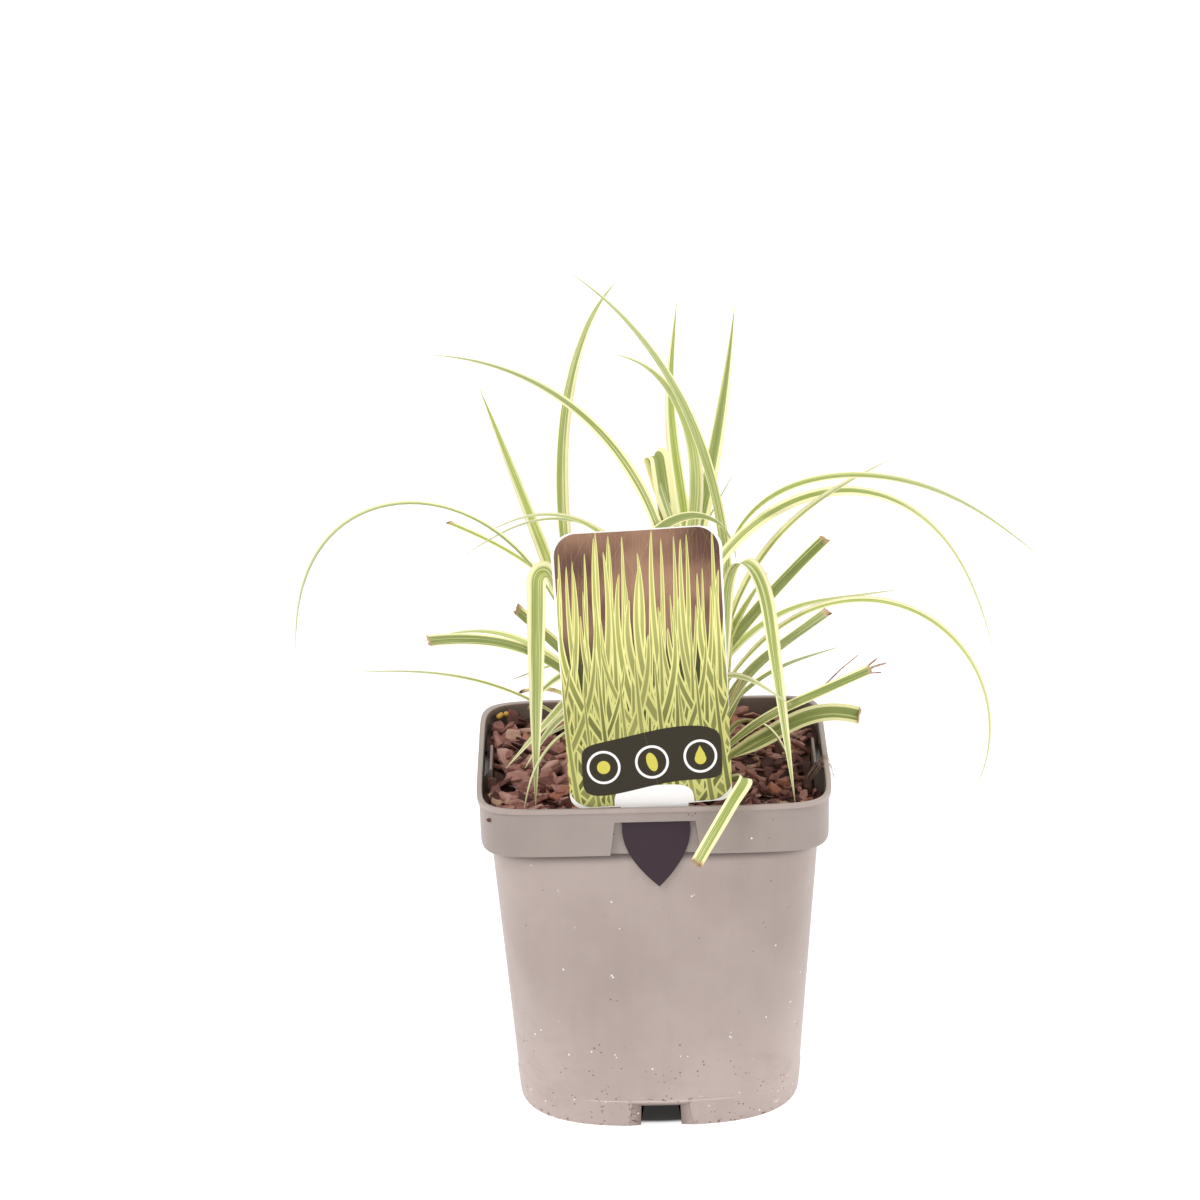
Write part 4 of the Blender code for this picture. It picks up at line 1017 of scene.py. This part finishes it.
# The plant label
label = {
    "halfThickness": 0.3 * mm,
    "faceFromAxis": 80.3 * mm,
    "bendHeight": 168.0 * mm,
    "cardLength": 132.5 * mm,
    "cardShift": -1.3 * mm,
    "topHalfWidth": 40.5 * mm,
    "lowHalfWidth": 38.4 * mm,
    "cornerRadius": 11.5 * mm,
    "lowCornerRadius": 6.0 * mm,
    "neckHalfWidth": 16.0 * mm,
    "neckHeight": 0.6 * mm,
    "shoulder": 12.0 * mm,
    "tongueLength": 40.5 * mm,
    "lean": math.radians(8.0),
    "tilt": math.radians(2.2),
    "bow": 0.9 * mm,
    "border": 0.45 * mm,
    "across": 25,
    "tongueColour": (0.036, 0.019, 0.028),
    "paper": (0.90, 0.88, 0.86),
    "brownLow": (0.11, 0.048, 0.034),
    "brownHigh": (0.36, 0.20, 0.13),
    "printCream": (0.84, 0.80, 0.32),
    "printGold": (0.56, 0.55, 0.18),
    "printGreen": (0.40, 0.42, 0.11),
    "printDeep": (0.10, 0.105, 0.024),
    "printDark": (0.050, 0.052, 0.014),
    "panel": (0.030, 0.023, 0.012),
    "accent": (0.62, 0.55, 0.09),
    # Each printed layer: slant, bend, column width, foot, reach, shift and leaf width
    "layers": (
        (0.16, 0.006, 0.60, 7.8, 6.0, 0.3, 0.33),
        (-0.24, -0.012, 0.66, 7.4, 5.8, 1.9, 0.34),
        (0.42, 0.020, 0.72, 6.8, 5.6, 3.1, 0.32),
        (-0.55, -0.030, 0.80, 6.2, 5.4, 4.7, 0.30),
        (0.10, 0.006, 0.70, 5.6, 4.8, 6.3, 0.27),
        (-0.85, -0.045, 1.10, 5.4, 4.6, 7.7, 0.22),
        (0.70, 0.040, 1.00, 4.8, 4.0, 8.9, 0.24),
        (-0.12, -0.008, 0.90, 4.0, 3.2, 11.2, 0.22),
    ),
}


def labelStations():
    # Heights on the card with the half width there: quarter circles at its corners, a neck, then a tongue
    # whose half width falls as 1 - s^1.9
    top, low, neck = label["cornerRadius"], label["lowCornerRadius"], label["neckHalfWidth"]
    tall, wide, foot = label["cardLength"], label["topHalfWidth"], label["lowHalfWidth"]
    edge = label["neckHeight"] + 0.1 * mm
    inward = 1 - np.cos(np.radians(np.linspace(0, 90, 12)))
    side = np.linspace(tall - top, edge + low, 26)[1:-1]
    tip = np.linspace(0, 1, 15)
    heights = (tall - top * inward, side, edge + low * inward[::-1],
               [label["neckHeight"], 0.0, -4 * mm, -8 * mm],
               -between(label["shoulder"], label["tongueLength"], tip))
    halves = (wide - top * inward[::-1], between(foot, wide, (side - edge) / (tall - edge)),
              foot - low * inward, [neck] * 4, neck * (1 - tip ** 1.9) + 0.15 * mm)
    return np.concatenate(heights), np.concatenate(halves)


def addLabel():
    # A thin closed card: the front grid and the back grid share an outline, lean back above the neck, and
    # bow a little across
    up, half = (line[:, None] for line in labelStations())
    u = np.linspace(-1, 1, label["across"])[None, :]
    isCard, lean = up > label["neckHeight"], np.where(up > 0, label["lean"], 0.0)
    sideways = half * u + np.where(isCard, label["cardShift"], 0.0)
    bow = np.where(isCard, label["bow"] * (sideways / label["topHalfWidth"]) ** 2, 0.0)
    x, z = spun(sideways, up * np.cos(lean) * np.ones_like(u), label["tilt"])
    sheets = []
    for depth in (-label["halfThickness"], label["halfThickness"]):
        y = up * np.sin(lean) - label["faceFromAxis"] + (depth + bow) * np.cos(lean)
        sheets.append(np.stack([x, y, label["bendHeight"] + z - depth * np.sin(lean)], -1))
    ring = np.concatenate([sheets[0], sheets[1][:, ::-1]], 1)
    rows, columns = ring.shape[:2]
    place = np.stack([sideways, up * np.ones_like(u)], -1)
    uvs = np.concatenate([place, place[:, ::-1]], 1).reshape(-1, 2) / 0.1
    behind = np.tile(np.repeat([0.0, 1.0], label["across"]), rows)
    piece = addPiece("label_card", ring.reshape(-1, 3), cardFaces(rows, columns), labelPrint(), uvs,
                     {"behind": behind}, sharp=40)
    belongs(piece, "label_card", "plant_label")
    print("label printed")


def printedLeaves(finish, x, y, below, layer):
    # One layer of a leafy pattern: slanted, bent stripes in columns, each with a tip at its own height.
    # x and y are in centimetres. Returns the colour with this layer laid over what is below it.
    slant, bend, pitch, foot, reach, shift, width = layer
    skew = (x * math.cos(slant) - y * math.sin(slant) + y * y * bend + shift) / pitch
    cell = finish.maths("FLOOR", skew)
    chance = Wire(finish, finish.node("ShaderNodeTexWhiteNoise", {"noise_dimensions": "1D"},
                                      {"W": cell + shift * 7.0}).outputs["Value"])
    local = skew - cell - 0.5 + (chance - 0.5) * 0.25
    tip = foot + reach * (0.45 + chance * 0.55)
    taper = finish.root(finish.higher(1.0 - finish.higher(y / tip, 0.0), 0.0))
    side = abs(local) / (taper * width * (0.7 + chance * 0.5) + 0.001)
    tone = finish.maths("FRACT", chance * 13.7)
    green = finish.step(y * 0.12 + tone * 0.5, 0.75, 1.55)
    green = finish.mix(green, label["printDeep"], label["printGreen"])
    cream = finish.mix(finish.step(y + tone * 2.0, 4.5, 10.0), label["printGold"], label["printCream"])
    colour = finish.mix(finish.fall(side, 0.45, 0.62) * (0.6 + tone * 0.4), cream, green)
    return finish.mix(finish.fall(side, 0.97, 1.05), below, colour)


def labelPrint():
    # A brown glow behind layers of striped leaves, a dark plaque with three plain medallions, a pale foot
    # and a thin pale border; the tongue is dark and the back is bare
    card = Finish("labelCard", Roughness=0.34, Specular_IOR_Level=0.28)
    step, fall, mix, root = card.step, card.fall, card.mix, card.root
    x, y = (part * 10.0 for part in card.parts(card.place(of="UV"))[:2])
    glow = card.noise(card.joined(x * 0.22 + y * 0.12, y * 0.3 - x * 0.1), 1.0, 2.0, 0.4)
    colour = mix(step(glow, 0.3, 0.7), label["brownLow"], label["brownHigh"])
    colour = mix(step(y, 6.5, 9.5), label["printDark"], colour)
    for layer in label["layers"]:
        colour = printedLeaves(card, x, y, colour, layer)
    tab = (abs(x) / 1.9) ** 4.0 + abs(y) ** 4.0
    colour = mix(fall(tab, 0.95, 1.0), colour, label["paper"])
    hill = 2.15 + card.maths("SINE", x * 0.62 + 0.5) * 0.3
    plaque = (abs(x) / 3.3) ** 6.0 + (abs(y - hill) / 1.3) ** 6.0
    colour = mix(fall(plaque, 1.0, 1.1), colour, label["panel"])
    for place, sign in ((-2.3, "disc"), (0.0, "lens"), (2.3, "drop")):
        across, upward = x - place, y - 2.12 - place * 0.06
        away = root(across * across + upward * upward)
        colour = mix(fall(abs(away - 0.74), 0.045, 0.07), colour, label["paper"])
        if sign == "disc":
            mark = fall(away, 0.30, 0.325)
        elif sign == "lens":
            arc = root(card.higher(1.0 - upward * upward * 5.0, 0.0))
            mark = fall(abs(across + upward * 0.2) / (0.26 * arc + 0.001), 0.9, 1.05)
        else:
            wedge = fall(abs(across) * 1.9 + abs(upward - 0.08), 0.42, 0.45)
            mark = card.higher(fall(root(across * across + (upward + 0.12) ** 2.0), 0.26, 0.285), wedge)
        colour = mix(mark, colour, label["accent"])
    # The border follows the distance to a box with round corners, in centimetres
    radius, tall, neck = (label[key] * 100 for key in ("cornerRadius", "cardLength", "neckHeight"))
    qx = abs(x + 0.13) - ((label["topHalfWidth"] + label["lowHalfWidth"]) * 50 - radius)
    qy = abs(y - (tall + neck) / 2) - ((tall - neck) / 2 - radius)
    outX, outY = card.higher(qx, 0.0), card.higher(qy, 0.0)
    rounded = root(outX * outX + outY * outY) + card.lower(card.higher(qx, qy), 0.0) - radius
    inset = label["border"] * 100
    colour = mix(step(rounded, -inset - 0.01, -inset + 0.01), colour, label["paper"])
    colour = mix(card.mark("behind"), colour, label["paper"])
    onTongue = fall(y, -0.37, -0.35)
    colour = mix(onTongue, colour, label["tongueColour"])
    grain = card.noise(card.place(), 700.0)
    rough = 0.30 + grain * 0.1 + onTongue * 0.22
    return card.show(Base_Color=colour, Roughness=rough, Normal=card.bump(grain, 0.05 * mm, 0.5))


# Loose bits: feed pellets, rootlets, dry strands
bits = {
    "seed": 8,
    "fibreCount": 150,
    "overRim": 9,
    "roots": ((0.22, 0.12, 0.085), (0.58, 0.42, 0.34)),
    "rimCurve": ((0, 0, 0), (5, -2, 7), (8.5, -4, 11.5), (11, -6, 8.5), (13, -9, 1.5)),
    "strands": (
        ((80.5, -21.0, 204.0), (91.5, -20.0, 214.6), (99.8, -20.0, 221.5), 0.42),
        ((101.5, -21.5, 212.6), (107.0, -22.5, 216.2), (113.0, -24.0, 218.4), 0.7),
        ((102.0, -21.0, 213.4), (105.5, -20.5, 217.0), (109.0, -20.0, 219.6), 0.6),
        ((101.0, -22.0, 212.0), (106.0, -24.5, 213.8), (110.5, -27.0, 214.6), 0.5),
    ),
    "pellets": ((0.70, 0.45, 0.08), (0.50, 0.26, 0.03)),
    "pelletRadius": 1.35 * mm,
    "pelletPlaces": ((-75.0, 73.0, 165.0), (-72.5, 74.5, 165.0), (-76.0, 70.5, 165.0)),
}


def addRootlets():
    # Fine roots straggle over the bark and the right rim; each path is a straight run with a sine wander
    draw = np.random.default_rng(bits["seed"])
    finish = Finish("rootlet", Roughness=0.8, Specular_IOR_Level=0.3)
    dust = finish.noise(finish.place(), 500.0, 3.0, 0.6)
    finish.show(Base_Color=finish.mix(finish.step(dust, 0.3, 0.7), *bits["roots"]))
    parts = []
    share = np.linspace(0, 1, 14)
    for _ in range(bits["fibreCount"]):
        start = np.array([draw.uniform(-74, 74), draw.uniform(-74, 74), draw.uniform(156.2, 158.6)]) * mm
        bearing, length = draw.uniform(0, math.tau), draw.uniform(6, 22) * mm
        ahead = np.array([math.cos(bearing), math.sin(bearing), draw.uniform(-0.12, 0.1)])
        aside = np.array([-ahead[1], ahead[0], 0.0])
        wander = np.sin(share * draw.uniform(3, 8) + draw.uniform(0, 6)) * draw.uniform(0.4, 1.8) * mm
        path = start + share[:, None] * ahead * length + wander[:, None] * aside
        path[:, 2] += np.sin(share * math.pi) * draw.uniform(-0.3, 1.0) * mm
        path[:, 2] += mulchRise(path[:, 0], path[:, 1])
        if np.max(np.abs(path[:, :2])) < 80.5 * mm:
            parts.append(tube(path, 0.16 * mm * (1.2 - share * 0.8)))
    for _ in range(bits["overRim"]):
        start = np.array([draw.uniform(74, 78), draw.uniform(-28, -6), 158.5]) * mm
        spread = (draw.uniform(0.7, 1.05), draw.uniform(0.4, 1.6), draw.uniform(0.9, 1.05))
        curve = through(bits["rimCurve"], share) * spread * mm
        curve[1:-1] = (curve[:-2] + curve[1:-1] * 2 + curve[2:]) / 4
        parts.append(tube(start + curve, 0.2 * mm * (1.2 - share * 0.8)))
    for *marks, thick in bits["strands"]:
        parts.append(tube(through(marks, share) * mm, thick * mm * (1.1 - share * 0.5)))
    belongs(addPiece("rootlets", *gather(parts), finish.material), "bark")


def addPellets():
    # Feed pellets: spheres x = r cos t cos p in the back left corner
    finish = Finish("feedPellet", Roughness=0.35, Specular_IOR_Level=0.5)
    finish.show(Base_Color=finish.mix(finish.noise(finish.place(), 900.0), *bits["pellets"]))
    rows, sides = 9, 14
    rise = np.linspace(-math.pi / 2, math.pi / 2, rows + 2)[1:-1, None, None]
    rings = ringOf(sides) * np.cos(rise) + np.sin(rise) * (0, 0, 1)
    ball = np.concatenate([rings.reshape(-1, 3), [[0, 0, -1], [0, 0, 1]]]) * bits["pelletRadius"]
    parts = [(ball + np.array(place) * mm, tubeFaces(rows, sides)) for place in bits["pelletPlaces"]]
    belongs(addPiece("feed_pellets", *gather(parts), finish.material), "bark")


# The studio
studio = {
    "skyColour": (1.0, 0.995, 0.99),
    "skyStrength": 0.70,
    "floorColour": (0.5, 0.493, 0.493),
    "floorGlow": 0.72,
    "floorHalf": 9.0,
    "underPot": (61 * mm, 66 * mm),
    "shade": (0.045, 0.041, 0.041),
    "lamps": (
        ("key", (-1.5, -1.7, 2.1), 1.1, 30.0),
        ("fill", (1.7, -1.5, 1.1), 1.4, 8.0),
        ("back", (0.5, 1.9, 1.8), 1.6, 12.0),
        ("left", (-2.1, 0.5, 0.5), 0.9, 10.0),
        ("right", (2.1, 0.5, 0.5), 0.9, 13.0),
    ),
}


def addStudio():
    scene = bpy.context.scene
    scene.view_settings.view_transform = "Standard"
    world = bpy.data.worlds.new("studio")
    world.use_nodes = True
    sky = world.node_tree.nodes["Background"]
    sky.inputs["Color"].default_value = (*studio["skyColour"], 1.0)
    sky.inputs["Strength"].default_value = studio["skyStrength"]
    scene.world = world
    half = studio["floorHalf"]
    finish = Finish("paleFloor", Roughness=0.9, Specular_IOR_Level=0.1, Emission_Strength=studio["floorGlow"])
    x, y, _ = finish.parts(finish.place())
    # Painted shadow: under the pot the floor's colour is dark and its glow is turned down to the shade colour
    bare = finish.step(finish.root(x * x + y * y), *studio["underPot"])
    finish.show(Base_Color=finish.mix(bare, (0.05, 0.045, 0.045), studio["floorColour"]),
                Emission_Color=finish.mix(bare, studio["shade"], (1.0, 1.0, 1.0)))
    corners = np.array([[-half, -half, 0], [half, -half, 0], [half, half, 0], [-half, half, 0]])
    floor = addPiece("floor", corners, [np.array([[0, 1, 2, 3]])], finish.material)
    for name, place, size, power in studio["lamps"]:
        lamp = bpy.data.lights.new(name, "AREA")
        lamp.size = size
        lamp.energy = power
        holder = bpy.data.objects.new(name, lamp)
        aim = Vector((0, 0, 0.18)) - Vector(place)
        holder.matrix_world = Matrix.Translation(place) @ aim.to_track_quat("-Z", "Y").to_matrix().to_4x4()
        scene.collection.objects.link(holder)
    print("studio lit")


addCamera()
addStudio()
addPot()
addSoil()
addBark()
addLabel()
addShoots()
addRootlets()
addPellets()
